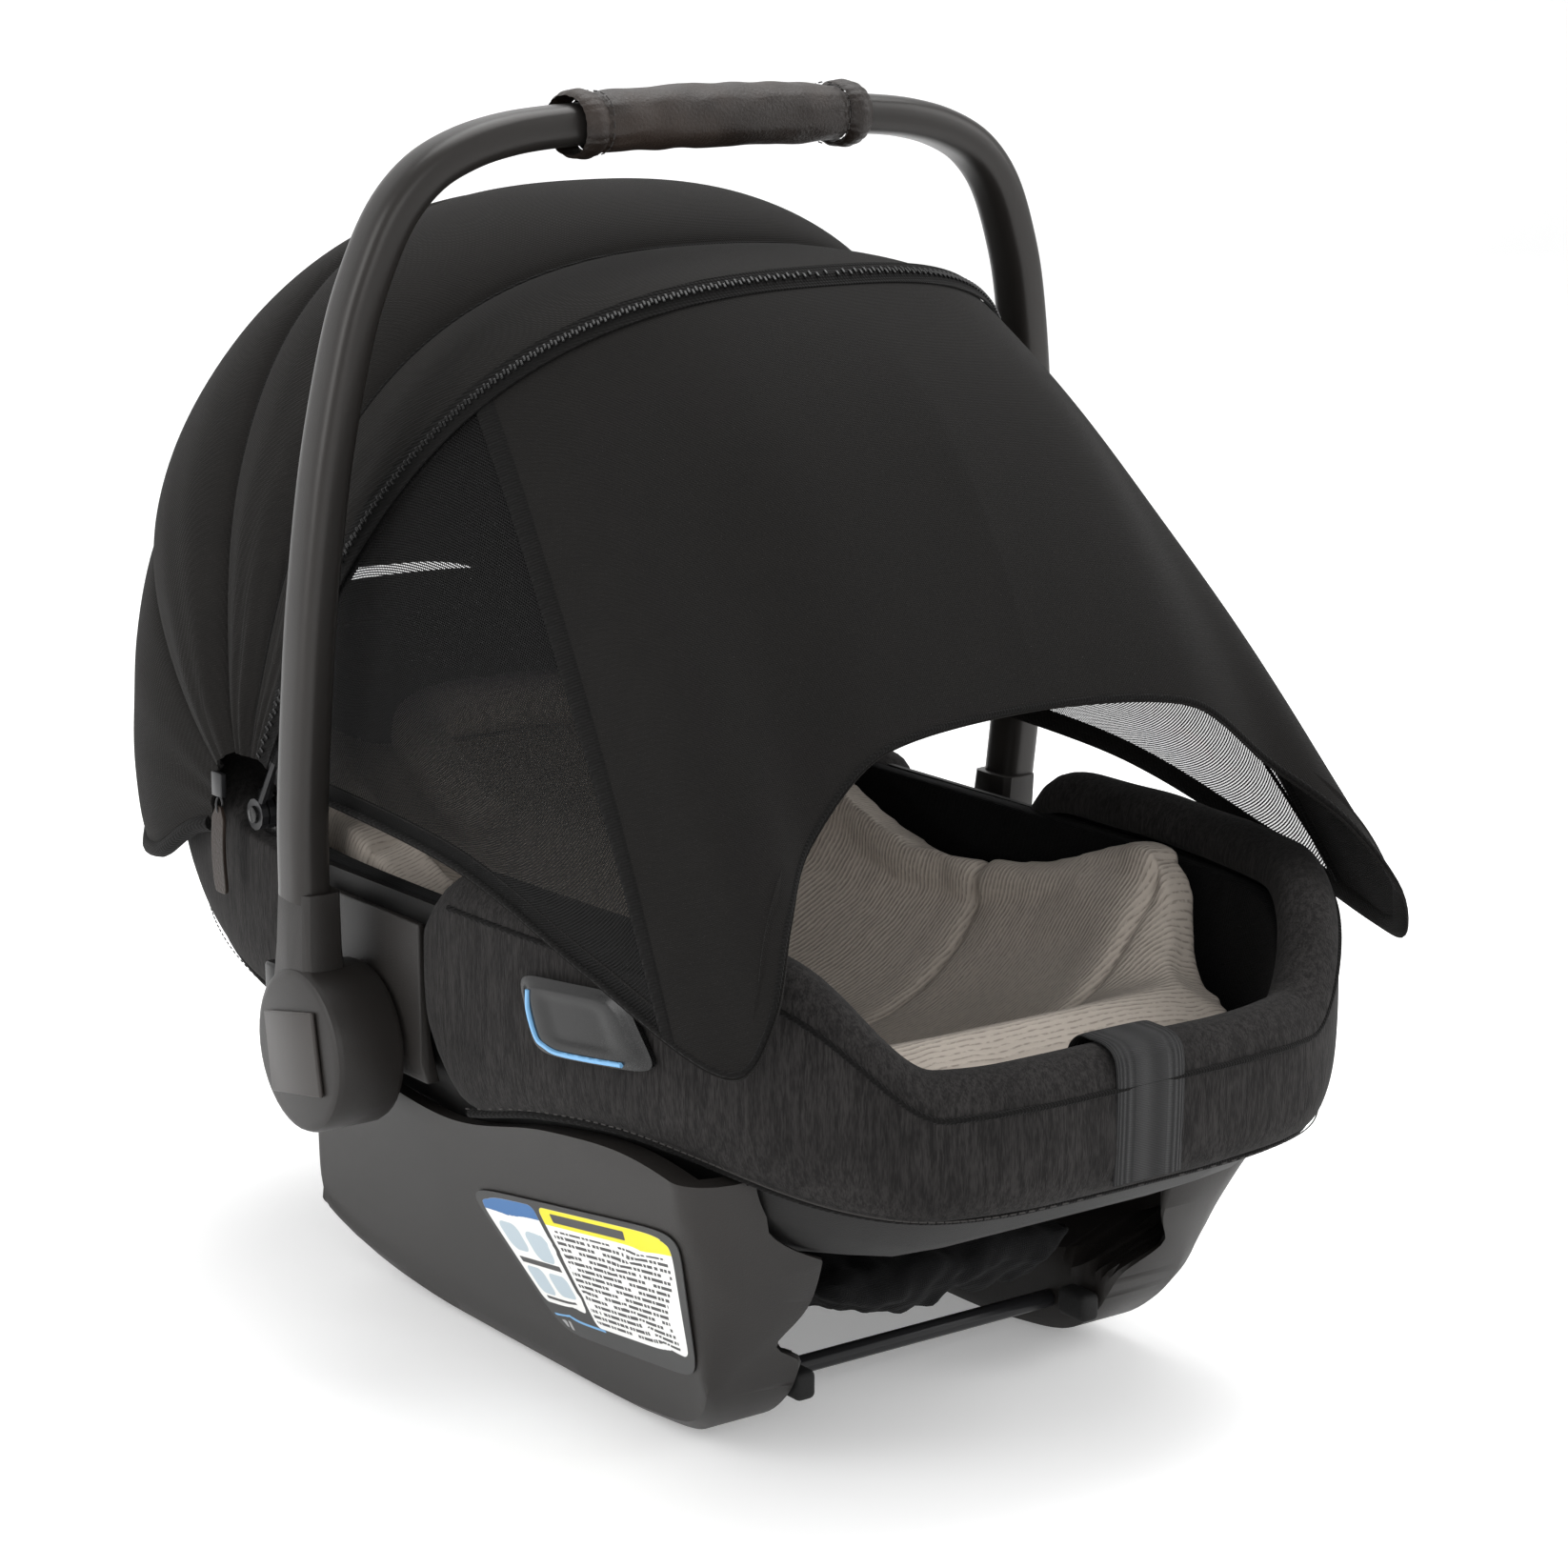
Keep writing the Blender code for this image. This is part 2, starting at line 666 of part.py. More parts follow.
def build_base():
    for name, side in SIDES:
        build_rocker("rocker_" + name, side)
        build_hub_mount("hub_mount_" + name, side)
    reach = ROCKER_FOOT_X[0] - GAP
    for name, y, z in (("latch_bar_front", -0.168, 0.022), ("latch_bar_rear", 0.104, 0.034)):
        bar = tube([(-reach, y, z), (0, y, z), (reach, y, z)], BAR_RADIUS, 3)
        put(bar, name, STEEL)
    for name, side in SIDES:
        low = (side * 0.083 - 0.0055, -0.206, 0.022)
        high = (side * 0.083 + 0.0055, -0.186, 0.036)
        put(block(low, high, 0.003), "bumper_" + name, RUBBER)
    pocket = [(-0.215, 0.066), (-0.200, 0.052), (-0.150, 0.046), (-0.060, 0.050), (-0.030, 0.064)]
    rings = []
    for y, low in pocket:
        top = floor_height(y) - 0.003
        rings.append([(-0.074, y, top), (-0.070, y, (low + top) / 2), (-0.052, y, low),
                      (0.052, y, low), (0.070, y, (low + top) / 2), (0.074, y, top)])
    put(loft("strap_pocket", rings), "strap_pocket", LINER)


# ---------------------------------------------------------------- handle
# each leg's centre line from the hub up: distance in from the hub's outer face, and height
HANDLE_LEG = [(0.0125, 0.2340), (0.0110, 0.2700), (0.0120, 0.3250), (0.0140, 0.3700),
              (0.0195, 0.4300), (0.0290, 0.4840), (0.0385, 0.5150), (0.0505, 0.5400),
              (0.0665, 0.5570), (0.0865, 0.5670), (0.1085, 0.5725), (0.1315, 0.5750)]
HANDLE_TOP = 0.5775
HANDLE_STATION = 0.030    # spacing of the centre line's points across the top


def handle_y(z):
    return HUB_Y + 0.006 - (z - 0.230) * HANDLE_LEAN


def handle_path():
    """Centre line of the handle from the -X side to the +X side."""
    half = [(inset - HUB_OUTER_X, handle_y(z), z) for inset, z in HANDLE_LEG]
    reach = HUB_OUTER_X - HANDLE_LEG[-1][0] - HANDLE_STATION
    middle = grip_path(-reach, reach, 2 * round(reach / HANDLE_STATION) + 1)
    return half + middle + [(-x, y, z) for x, y, z in reversed(half)]


def grip_path(low, high, count):
    """Part of the top of the handle between two places across."""
    return [(x, handle_y(HANDLE_TOP), HANDLE_TOP - 0.0025 * (x / 0.09) ** 2)
            for x in spread(low, high, count)]


def sleeve(name, path, inner_grow, thickness, finish):
    """A sleeve round the handle tube, open at both ends."""
    inner = oval(TUBE_WIDTH + 2 * inner_grow, TUBE_DEPTH + 2 * inner_grow)
    outer = oval(TUBE_WIDTH + 2 * (inner_grow + thickness),
                 TUBE_DEPTH + 2 * (inner_grow + thickness))
    solid = sweep(name, path, (0, 1, 0), outer)
    ends = [tuple(Vector(path[0]) * 1.5 - Vector(path[1]) * 0.5)]
    ends += path[1:-1]
    ends += [tuple(Vector(path[-1]) * 1.5 - Vector(path[-2]) * 0.5)]
    core = sweep("core", ends, (0, 1, 0), inner)
    return put(combine(solid, core, "DIFFERENCE"), name, finish)


def build_handle():
    put(sweep("handle_tube", handle_path(), (0, 1, 0), oval(TUBE_WIDTH, TUBE_DEPTH)),
        "handle_tube", BRONZE)
    sleeve("handle_grip", grip_path(-GRIP_HALF_LENGTH, GRIP_HALF_LENGTH, 9), GAP,
           GRIP_THICKNESS, LEATHER)
    for name, side in SIDES:
        near = GRIP_HALF_LENGTH + GAP
        ends = sorted((side * near, side * (near + CUFF_LENGTH)))
        sleeve("grip_cuff_" + name, grip_path(*ends, 3), GAP, CUFF_THICKNESS, LEATHER)


def mirrored_range(side, low, high):
    return (low, high) if side > 0 else (-high, -low)


def build_hub(name, side):
    outer_x = HUB_OUTER_X - PLATE_THICKNESS
    disc = drum(HUB_RADIUS, mirrored_range(side, HUB_INNER_X, outer_x), HUB_Y, HUB_Z, 40)
    round_edges(disc, 0.004, 2)
    disc = apply_all(disc)
    neck_low = HUB_Z + HUB_RADIUS * 0.55
    rings = []
    for z, half, x_low in ((neck_low, NECK_HALF_DEPTH + 0.004, NECK_INNER_X),
                           (HUB_Z + HUB_RADIUS + 0.008, NECK_HALF_DEPTH, NECK_INNER_X + 0.002),
                           (NECK_TOP, NECK_HALF_DEPTH - 0.001, NECK_INNER_X + 0.0035)):
        centre = handle_y(z)
        x_high = outer_x - 0.0015
        middle = side * (x_low + x_high) / 2
        section = oval(2 * half, x_high - x_low, 12, 4.0)
        rings.append([(middle + b, centre + a, z) for a, b in section])
    hub = combine(disc, loft("neck", rings), "UNION")
    recess = drum(HUB_RADIUS - HUB_WALL * 1.6,
                  mirrored_range(side, HUB_INNER_X - 0.002, HUB_INNER_X + 0.022), HUB_Y, HUB_Z)
    hub = combine(hub, recess, "DIFFERENCE")
    slot_x = mirrored_range(side, *BUTTON_X)
    slot_low = (slot_x[0], HUB_Y + 0.020, HUB_Z + 0.001)
    slot_high = (slot_x[1], HUB_Y + 0.060, HUB_Z + 0.031)
    hub = combine(hub, block(slot_low, slot_high), "DIFFERENCE")
    put(hub, "hub_" + name, PLASTIC)


def build_hub_plate(name, side):
    """Blank trim plate on the outside of the hub, a leaning lozenge with rounded corners."""
    outline = [(-0.026, -0.016), (0.020, -0.024), (0.026, 0.014), (-0.019, 0.023)]
    low = HUB_OUTER_X - PLATE_THICKNESS + GAP
    rings = []
    for x in (low, HUB_OUTER_X):
        rings.append([(side * x, HUB_Y + a, HUB_Z + b) for a, b in outline])
    plate = loft("plate", rings)
    round_edges(plate, 0.0009, 2)
    put(plate, "hub_plate_" + name, PLATE)


def build_hub_button(name, side):
    """Release button that stands out behind the hub and slides forward into it."""
    clearance = 0.0006
    slot_x = mirrored_range(side, *BUTTON_X)
    stem_low = (slot_x[0] + clearance, HUB_Y + 0.036, HUB_Z + 0.001 + clearance)
    stem_high = (slot_x[1] - clearance, HUB_Y + 0.0505, HUB_Z + 0.031 - clearance)
    put(block(stem_low, stem_high, 0.002), "handle_button_" + name, TRIM)


def build_lock(name, side):
    """Boss on the shell, toothed lock ring round it and the spring that holds the lock out."""
    boss = drum(BOSS_RADIUS, mirrored_range(side, ROCKER_TOP_X + GAP, HUB_INNER_X + 0.019),
                HUB_Y, HUB_Z, 28)
    put(boss, "pivot_boss_" + name, STEEL)
    low, high = HUB_INNER_X + 0.001, HUB_INNER_X + 0.007
    lock = ring_on_x(0.0235, BOSS_RADIUS + GAP, mirrored_range(side, low, high), HUB_Y, HUB_Z)
    for k in range(8):
        turn = 2 * math.pi * k / 8
        tooth = block((min(side * low, side * high) + 0.0004, -0.0022, 0.0215),
                      (max(side * low, side * high) - 0.0004, 0.0022, 0.0268))
        tooth.data.transform(Matrix.Rotation(turn, 4, "X"))
        tooth.data.transform(Matrix.Translation((0, HUB_Y, HUB_Z)))
        lock = combine(lock, tooth, "UNION")
    put(lock, "lock_ring_" + name, STEEL)
    coil = []
    turns, per_turn, wire = 2.5, 10, 0.0007
    start = high + 0.0012
    for k in range(int(turns * per_turn) + 1):
        angle = 2 * math.pi * k / per_turn
        reach = BOSS_RADIUS + 0.0024
        coil.append((side * (start + 0.009 * k / (turns * per_turn)),
                     HUB_Y + reach * math.cos(angle), HUB_Z + reach * math.sin(angle)))
    put(tube(coil, wire, 1), "lock_spring_" + name, STEEL)


# ---------------------------------------------------------------- canopy
# name, lean at the top and at the sides (degrees ahead of upright), height, place on the pin
BOWS = [("canopy_bow_rear", -46.0, -50.0, 0.240, -2, 2.9),
        ("canopy_bow_middle", -4.0, -9.0, 0.284, -1, 2.7),
        ("canopy_bow_crown", 22.0, 15.0, 0.286, 1, 2.7),
        ("canopy_bow_front", 38.0, 31.0, 0.328, 2, 2.7)]


def bow_half_width(slot):
    if slot > 0:
        return BRACKET_X[1] + BOW_SPACING * slot - BOW_SPACING / 2 + GAP
    return BRACKET_X[0] + BOW_SPACING * slot + BOW_SPACING / 2 - GAP


def bow_point(bow, turn, grow=0.0):
    """Point of a bow: turn runs 0 at the -X end to pi at the +X end."""
    name, lean_top, lean_side, height, slot, power = bow
    across = -rounded(math.cos(turn), power) * (bow_half_width(slot) + grow)
    reach = abs(math.sin(turn)) ** (2 / power) * (height + grow)
    lean = math.radians(lean_side + (lean_top - lean_side) * math.sin(turn) ** 2)
    return across, CANOPY_Y - reach * math.sin(lean), CANOPY_Z + reach * math.cos(lean)


def build_bow(bow):
    name, lean_top, lean_side, height, slot, power = bow
    first = 0.0
    while math.sin(first) ** (2 / power) * height < 0.0062:
        first += 0.002
    path = [bow_point(bow, turn) for turn in spread(first, math.pi - first, 19)]
    wire = tube(path, BOW_RADIUS, 1)
    place = bow_half_width(slot)
    for side in (-1, 1):
        eye = ring_on_x(0.0078, PIN_RADIUS + 0.0004,
                        mirrored_range(side, place - 0.0018, place + 0.0018),
                        CANOPY_Y, CANOPY_Z, 12)
        wire = combine(wire, eye, "UNION")
    put(wire, name, STEEL)


def build_canopy_mount(name, side):
    """Bracket on the rim with the pin that carries the four bow ends."""
    base = rim_point(rim_angle(CANOPY_Y))[2] + 2 * SOFT_GAP
    low = (min(side * BRACKET_X[0], side * BRACKET_X[1]), CANOPY_Y - 0.014, base)
    high = (max(side * BRACKET_X[0], side * BRACKET_X[1]), CANOPY_Y + 0.014, CANOPY_Z + 0.010)
    bracket = apply_all(block(low, high, 0.0015, 2))
    pin = drum(PIN_RADIUS, mirrored_range(side, BRACKET_X[0] - 0.0105, BRACKET_X[1] + 0.0105),
               CANOPY_Y, CANOPY_Z, 18)
    bracket = combine(bracket, pin, "UNION")
    put(bracket, "canopy_mount_" + name, TRIM)


def fabric_point(bow, turn):
    """Where the canopy fabric passes over a bow: clear of the wire, and of the pins at the sides."""
    clear = BOW_RADIUS + PANEL_THICKNESS / 2 + SOFT_GAP
    name, lean_top, lean_side, height, slot, power = bow
    across, y, z = bow_point(bow, turn, clear)
    across *= FABRIC_HALF_WIDTH / (bow_half_width(slot) + clear)
    return across, y, z


def rear_edge(turn):
    """Rolled rear edge of the canopy, round the head end of the seat."""
    swing = math.sin(turn)
    x = -rounded(math.cos(turn), 2.7) * (SHELL_HALF_WIDTH + 0.010)
    y = 0.120 + (SHELL_HEAD_LENGTH - 0.114) * swing ** (2 / 2.7)
    z = between([(0.0, 0.236), (0.35, 0.205), (0.70, 0.212), (1.0, 0.318)], swing)
    return x, y, z


def panel(name, first, second, bulge, count=21, rows=4):
    """Canopy fabric between two edges, with a low hump along its middle."""
    surface = []
    for k in range(rows):
        row = []
        for turn in spread(FABRIC_START, math.pi - FABRIC_START, count):
            a = Vector(first(turn))
            b = Vector(second(turn))
            inset = SOFT_GAP / (b - a).length
            share = inset + (1 - 2 * inset) * k / (rows - 1)
            point = a.lerp(b, share)
            out = (point - Vector((0, CANOPY_Y, CANOPY_Z))).normalized()
            hump = bulge * 4 * share * (1 - share) * math.sin(turn) ** 0.5
            row.append(tuple(point + out * hump))
        surface.append(row)
    fabric = sheet(name, surface)
    layer(fabric, 0, 0.0, PANEL_THICKNESS)
    put(fabric, name, CANOPY)


def build_canopy():
    for bow in BOWS:
        build_bow(bow)
    edges = [rear_edge]
    for bow in BOWS:
        edges.append(lambda turn, bow=bow: fabric_point(bow, turn))
    names = ("canopy_panel_rear", "canopy_panel_middle", "canopy_panel_crown",
             "canopy_panel_front")
    for name, first, second, bulge in zip(names, edges, edges[1:], (0.014, 0.016, 0.012, 0.003)):
        panel(name, first, second, bulge)


# share of the way from the side to the middle: share of the fabric's half width, share of the
# length from the canopy pin to the foot end, and height
DRAPE_EDGE = [(0.0, 1.0, 0.1175, 0.270), (0.14, 1.005, 0.4465, 0.262),
              (0.28, 1.008, 0.705, 0.237), (0.40, 0.992, 0.881, 0.217),
              (0.46, 0.961, 0.940, 0.217), (0.52, 0.909, 0.954, 0.240),
              (0.60, 0.809, 0.9165, 0.272), (0.70, 0.668, 0.865, 0.298),
              (0.82, 0.444, 0.851, 0.330), (1.0, 0.0, 0.846, 0.338)]


def drape_edge(share):
    """Lower edge of the drape, share 0 at the side of the seat and 1 at the middle."""
    across, along, z = (between([(knot[0], knot[k]) for knot in DRAPE_EDGE], share) for k in (1, 2, 3))
    return across * FABRIC_HALF_WIDTH, CANOPY_Y - along * (CANOPY_Y + SHELL_FOOT_LENGTH), z


def build_drape():
    """Front shade hung from the front bow over the foot end, with an arch left open."""
    columns = []
    for share in spread(0.0, 1.0, 13):
        turn = FABRIC_START + (math.pi / 2 - FABRIC_START) * share
        top = Vector(fabric_point(BOWS[-1], turn)) + Vector((0, -0.004, -0.002))
        x, y, z = drape_edge(share)
        low = Vector((-x, y, z))
        column = []
        for k in range(6):
            t = k / 5
            point = top.lerp(low, t)
            point += Vector((0, -1, 1)) * 0.018 * 4 * t * (1 - t) * share
            column.append(point)
        columns.append(column)
    rows = []
    for k in range(6):
        left = [tuple(column[k]) for column in columns]
        right = [(-x, y, z) for x, y, z in reversed(left[:-1])]
        rows.append(list(reversed(left + right)))
    drape = sheet("drape", rows)
    layer(drape, 0, 0.0, PANEL_THICKNESS)
    put(drape, "drape", CANOPY)


def build_zip_pull():
    """Leather tab that hangs from the zip slider beside the canopy pivot."""
    x = -(FABRIC_HALF_WIDTH + PANEL_THICKNESS / 2 + SOFT_GAP + 0.0018)
    y = CANOPY_Y + 0.021
    low = CANOPY_Z + 0.006
    slider = block((x - 0.0016, y - 0.005, low), (x + 0.0016, y + 0.005, low + 0.012), 0.0006)
    put(slider, "zip_slider", TRIM)
    pivot = low - TAB_PIVOT_DROP
    outline = [(-0.0012, 0.0022), (-0.0026, 0.0), (-0.006, -0.006), (-0.006, -0.045),
               (0.006, -0.045), (0.006, -0.006), (0.0026, 0.0), (0.0012, 0.0022)]
    rings = []
    for face in (x - TAB_THICKNESS / 2, x + TAB_THICKNESS / 2):
        rings.append([(face, y + a, pivot + b) for a, b in outline])
    put(loft("zip_pull", rings), "zip_pull", LEATHER)


# ---------------------------------------------------------------- harness
def above_seat(y, lift, x=0.0):
    """A point a little above the insert along the middle, measured square to its slope."""
    slope = (seat_surface(y + 0.002) - seat_surface(y - 0.002)) / 0.004
    normal = Vector((0, -slope, 1)).normalized()
    hollow = 0.0
    if x:
        half = insert_half_width(y) - SHELL_WALL - LINER_THICKNESS - 0.007 - INSERT_SIDE
        share = min(abs(x) / half, 1.0)
        drop = (1 - share ** 2.4) ** (1 / 2.4)
        hollow = (wing_height(y) - seat_surface(y)) * (1 - drop)
    return Vector((x, y, seat_surface(y) + hollow)) + normal * lift


def build_harness():
    lift = WEBBING_THICKNESS / 2 + SOFT_GAP * 2
    path = [above_seat(y, lift + 0.002) for y in spread(-0.126, -0.088, 5)]
    put(sweep("crotch_strap", [tuple(p) for p in path], (1, 0, 0),
              rectangle(0.036, WEBBING_THICKNESS)), "crotch_strap", WEBBING)
    base = above_seat(-0.060, 0.0)
    body_low = (-0.026, -0.0855, base.z + 0.006)
    body_high = (0.026, -0.036, base.z + 0.024)
    body = apply_all(block(body_low, body_high, 0.004))
    pocket = block((-0.011, -0.074, base.z + 0.014), (0.011, -0.052, base.z + 0.030))
    put(combine(body, pocket, "DIFFERENCE"), "buckle_body", TRIM)
    button = block((-0.0105, -0.0735, base.z + 0.0185), (0.0105, -0.0525, base.z + 0.0262), 0.0015)
    put(button, "buckle_button", RED)
    for name, side in SIDES:
        path = []
        for k, y in enumerate(spread(-0.030, 0.108, 9)):
            x = side * (0.024 + 0.016 * k / 8)
            path.append(tuple(above_seat(y, lift + 0.0065 - 0.003 * (k / 8), x)))
        strap = sweep("shoulder_strap", path, (1, 0, 0),
                      rectangle(WEBBING_WIDTH, WEBBING_THICKNESS))
        put(strap, "shoulder_strap_" + name, WEBBING)


def build_adjuster():
    """Wide webbing that comes out over the front rim and hangs down outside."""
    out = SHELL_FOOT_LENGTH + FACET_GAP + COVER_THICKNESS + 0.0014
    top = RIM_FRONT + 2 * RIM_PAD_RADIUS + 0.0045
    inside = SHELL_FOOT_LENGTH - 2 * RIM_PAD_RADIUS + 0.0005
    path = [(0, -inside, top - 0.020), (0, -inside - 0.0012, top - 0.006),
            (0, -inside - 0.007, top), (0, -out + 0.008, top), (0, -out + 0.0015, top - 0.005),
            (0, -out, top - 0.012), (0, -out, 0.172), (0, -out, 0.146)]
    strap = sweep("adjuster_strap", path, (1, 0, 0), rectangle(ADJUSTER_WIDTH, WEBBING_THICKNESS))
    put(strap, "adjuster_strap", WEBBING)


# ---------------------------------------------------------------- small outside parts
def on_side(y, z, out):
    """A point outside the covered wall of the tub on the +X side, square to the wall."""
    step = 0.004
    along = (tub_half_width(y + step, z) - tub_half_width(y - step, z)) / (2 * step)
    up = (tub_half_width(y, z + step) - tub_half_width(y, z - step)) / (2 * step)
    normal = Vector((1, -along, -up)).normalized()
    return Vector((tub_half_width(y, z), y, z)) + normal * (FACET_GAP + COVER_THICKNESS + out)


def side_plate(corners, surface, side, distance, thickness):
    """A plate that follows a curved side wall: corners (y, z) run round it from the top left."""
    columns = []
    for share in spread(0.0, 1.0, 5):
        top = [corners[0][i] + (corners[1][i] - corners[0][i]) * share for i in (0, 1)]
        low = [corners[3][i] + (corners[2][i] - corners[3][i]) * share for i in (0, 1)]
        column = []
        for t in spread(0.0, 1.0, 5):
            point = surface(low[0] + (top[0] - low[0]) * t, low[1] + (top[1] - low[1]) * t)
            column.append((side * point.x, point.y, point.z))
        columns.append(column)
    if side < 0:
        columns.reverse()
    plate = sheet("plate", columns)
    return layer(plate, 1, distance, thickness)


def build_belt_guide(name, side):
    """Flap on the cover that holds the vehicle's lap belt."""
    corners = [(-0.138, 0.224), (-0.208, 0.230), (-0.228, 0.198), (-0.150, 0.190)]
    guide = side_plate(corners, lambda y, z: on_side(y, z, 0.0), side, FACET_GAP, 0.0045)
    put(guide, "belt_guide_" + name, TRIM)


def build_label(name, side):
    """Printed information label on the outside of the rocker."""
    corners = [(-0.046, 0.092), (-0.232, 0.126), (-0.204, 0.047), (-0.088, 0.034)]
    label = side_plate(corners, lambda y, z: Vector((rocker_outer(z), y, z)), side, GAP * 2,
                       LABEL_THICKNESS)
    put(label, "label_" + name, LABEL)


def build_release_lever():
    """Lever at the back of the shell that lets the seat off its vehicle base."""
    y = SHELL_HEAD_LENGTH - 0.092
    low = tub_height(0.05, y) - 0.026
    lever = block((-0.045, y - 0.012, low), (0.045, y + 0.012, low + 0.010), 0.003)
    put(lever, "base_release_lever", TRIM)
    for name, side in SIDES:
        x = side * 0.052
        arm = block((x - 0.004, y - 0.010, low - 0.002),
                    (x + 0.004, y + 0.010, tub_height(x, y - 0.010) - 0.001), 0.0015)
        put(arm, "lever_bracket_" + name, PLASTIC)


# ---------------------------------------------------------------- assembly
build_tub()
build_liner()
build_covers()
build_rim_pads()
build_insert()
build_head_support()
build_base()
build_handle()
for side_name, side_sign in SIDES:
    build_hub(side_name, side_sign)
    build_hub_plate(side_name, side_sign)
    build_hub_button(side_name, side_sign)
    build_lock(side_name, side_sign)
    build_canopy_mount(side_name, side_sign)
    build_belt_guide(side_name, side_sign)
    build_label(side_name, side_sign)
build_canopy()
build_drape()
build_zip_pull()
build_harness()
build_adjuster()
build_release_lever()
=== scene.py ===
# %% [markdown]
# # The looks of an infant car seat
# The CAD frame gives every rigid part its true size and its joints. This script dresses it: the
# folding canopy and its front drape, the padded cover and insert, the webbing, the leather grip
# and every finish. It loads the frame first, then works from the stage to the small parts.

# %% Load the frame
import json
import math

import bpy
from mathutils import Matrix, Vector, noise

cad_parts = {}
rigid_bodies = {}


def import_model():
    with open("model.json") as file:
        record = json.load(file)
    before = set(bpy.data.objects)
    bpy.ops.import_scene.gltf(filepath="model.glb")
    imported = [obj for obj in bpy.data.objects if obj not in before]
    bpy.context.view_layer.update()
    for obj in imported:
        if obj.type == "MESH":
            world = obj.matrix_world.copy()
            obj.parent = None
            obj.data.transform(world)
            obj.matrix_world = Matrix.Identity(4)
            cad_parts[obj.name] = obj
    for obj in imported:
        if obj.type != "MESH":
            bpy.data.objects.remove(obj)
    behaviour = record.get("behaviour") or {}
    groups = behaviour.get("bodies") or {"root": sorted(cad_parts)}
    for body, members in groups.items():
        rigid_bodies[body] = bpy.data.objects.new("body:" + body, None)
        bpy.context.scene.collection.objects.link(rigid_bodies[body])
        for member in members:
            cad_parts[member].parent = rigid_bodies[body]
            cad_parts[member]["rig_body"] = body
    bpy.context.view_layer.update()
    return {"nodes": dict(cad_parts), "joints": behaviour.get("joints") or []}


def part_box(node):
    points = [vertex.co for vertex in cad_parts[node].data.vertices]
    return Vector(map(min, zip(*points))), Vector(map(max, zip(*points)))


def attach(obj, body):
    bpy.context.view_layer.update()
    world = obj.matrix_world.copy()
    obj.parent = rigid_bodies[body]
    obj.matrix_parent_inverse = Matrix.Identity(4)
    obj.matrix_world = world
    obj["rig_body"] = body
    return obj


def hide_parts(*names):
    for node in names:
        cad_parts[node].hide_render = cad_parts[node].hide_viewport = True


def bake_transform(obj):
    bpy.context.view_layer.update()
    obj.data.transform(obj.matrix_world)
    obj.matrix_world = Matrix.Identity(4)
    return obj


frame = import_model()
JOINT = {joint["name"]: joint for joint in frame["joints"]}

# %% [markdown]
# ## Camera, floor and light
# The camera looks from the foot end and a little above. A floor that curves up into a backdrop has
# no horizon line. A wide soft light overhead and two tall ones at the sides draw the long
# highlights that black plastic and metal need, and the dark cloth stays readable.

# %% Camera, floor and light
LOOK_AT = Vector((0.0, -0.074, 0.269))
VIEW_AZIMUTH = math.radians(-36.06)
VIEW_ELEVATION = math.radians(12.99)
VIEW_DISTANCE = 1.833


def add_camera():
    camera = bpy.data.objects.new("camera", bpy.data.cameras.new("camera"))
    bpy.context.scene.collection.objects.link(camera)
    flat = math.cos(VIEW_ELEVATION)
    back = Vector((math.sin(VIEW_AZIMUTH) * flat, -math.cos(VIEW_AZIMUTH) * flat,
                   math.sin(VIEW_ELEVATION)))
    camera.location = LOOK_AT + back * VIEW_DISTANCE
    camera.rotation_euler = (-back).to_track_quat("-Z", "Y").to_euler()
    camera.data.lens = 89.38
    camera.data.sensor_width = 36.0
    bpy.context.scene.camera = camera


def add_light(name, place, aim, width, height, watts):
    light = bpy.data.lights.new(name, "AREA")
    light.shape = "RECTANGLE"
    light.size, light.size_y = width, height
    light.energy = watts
    item = bpy.data.objects.new(name, light)
    bpy.context.scene.collection.objects.link(item)
    item.location = place
    item.rotation_euler = (Vector(aim) - Vector(place)).to_track_quat("-Z", "Y").to_euler()


add_camera()
add_light("overhead", (0.5, 0.3, 2.3), (0, 0, 0.25), 2.2, 1.8, 46)
add_light("left_wall", (-2.2, 0.3, 1.1), (0, 0, 0.3), 1.0, 1.8, 24)
add_light("right_wall", (1.9, -1.3, 1.3), (0, -0.1, 0.3), 1.0, 1.6, 22)
add_light("front_fill", (-0.9, -2.4, 1.0), (0, 0, 0.25), 1.6, 1.2, 15)
world = bpy.data.worlds.new("studio")
world.use_nodes = True
world.node_tree.nodes["Background"].inputs["Color"].default_value = (1, 1, 1, 1)
world.node_tree.nodes["Background"].inputs["Strength"].default_value = 0.75
bpy.context.scene.world = world
bpy.context.scene.view_settings.view_transform = "Standard"
print("camera at", [round(x, 3) for x in bpy.context.scene.camera.location])

# %% [markdown]
# ## Mesh helpers
# Most soft goods here are curved sheets or closed rolls. Both start from a grid primitive whose
# points are carried to a formula's place: the grid keeps its even quads and its UV map, so the
# weave and the stitches can follow the cloth.

# %% Mesh helpers
SIDES = (("left", -1.0), ("right", 1.0))
PIECES = {}


def only(item):
    """Selects one object alone and makes it active."""
    bpy.ops.object.select_all(action="DESELECT")
    item.select_set(True)
    bpy.context.view_layer.objects.active = item
    return item


def edit(item, *steps):
    """Runs edit-mode operators, given as (operator, settings), on everything in the mesh."""
    only(item)
    bpy.ops.object.mode_set(mode="EDIT")
    bpy.ops.mesh.select_all(action="SELECT")
    for operator, settings in steps:
        operator(**settings)
    bpy.ops.object.mode_set(mode="OBJECT")
    return item


def modify(item, kind, **settings):
    """Adds one modifier and applies it."""
    change = item.modifiers.new(kind.lower(), kind)
    for key, value in settings.items():
        setattr(change, key, value)
    only(item)
    bpy.ops.object.modifier_apply(modifier=change.name)
    return item


def subdivide_smoothly(item, levels=1):
    return modify(item, "SUBSURF", levels=levels, render_levels=levels)


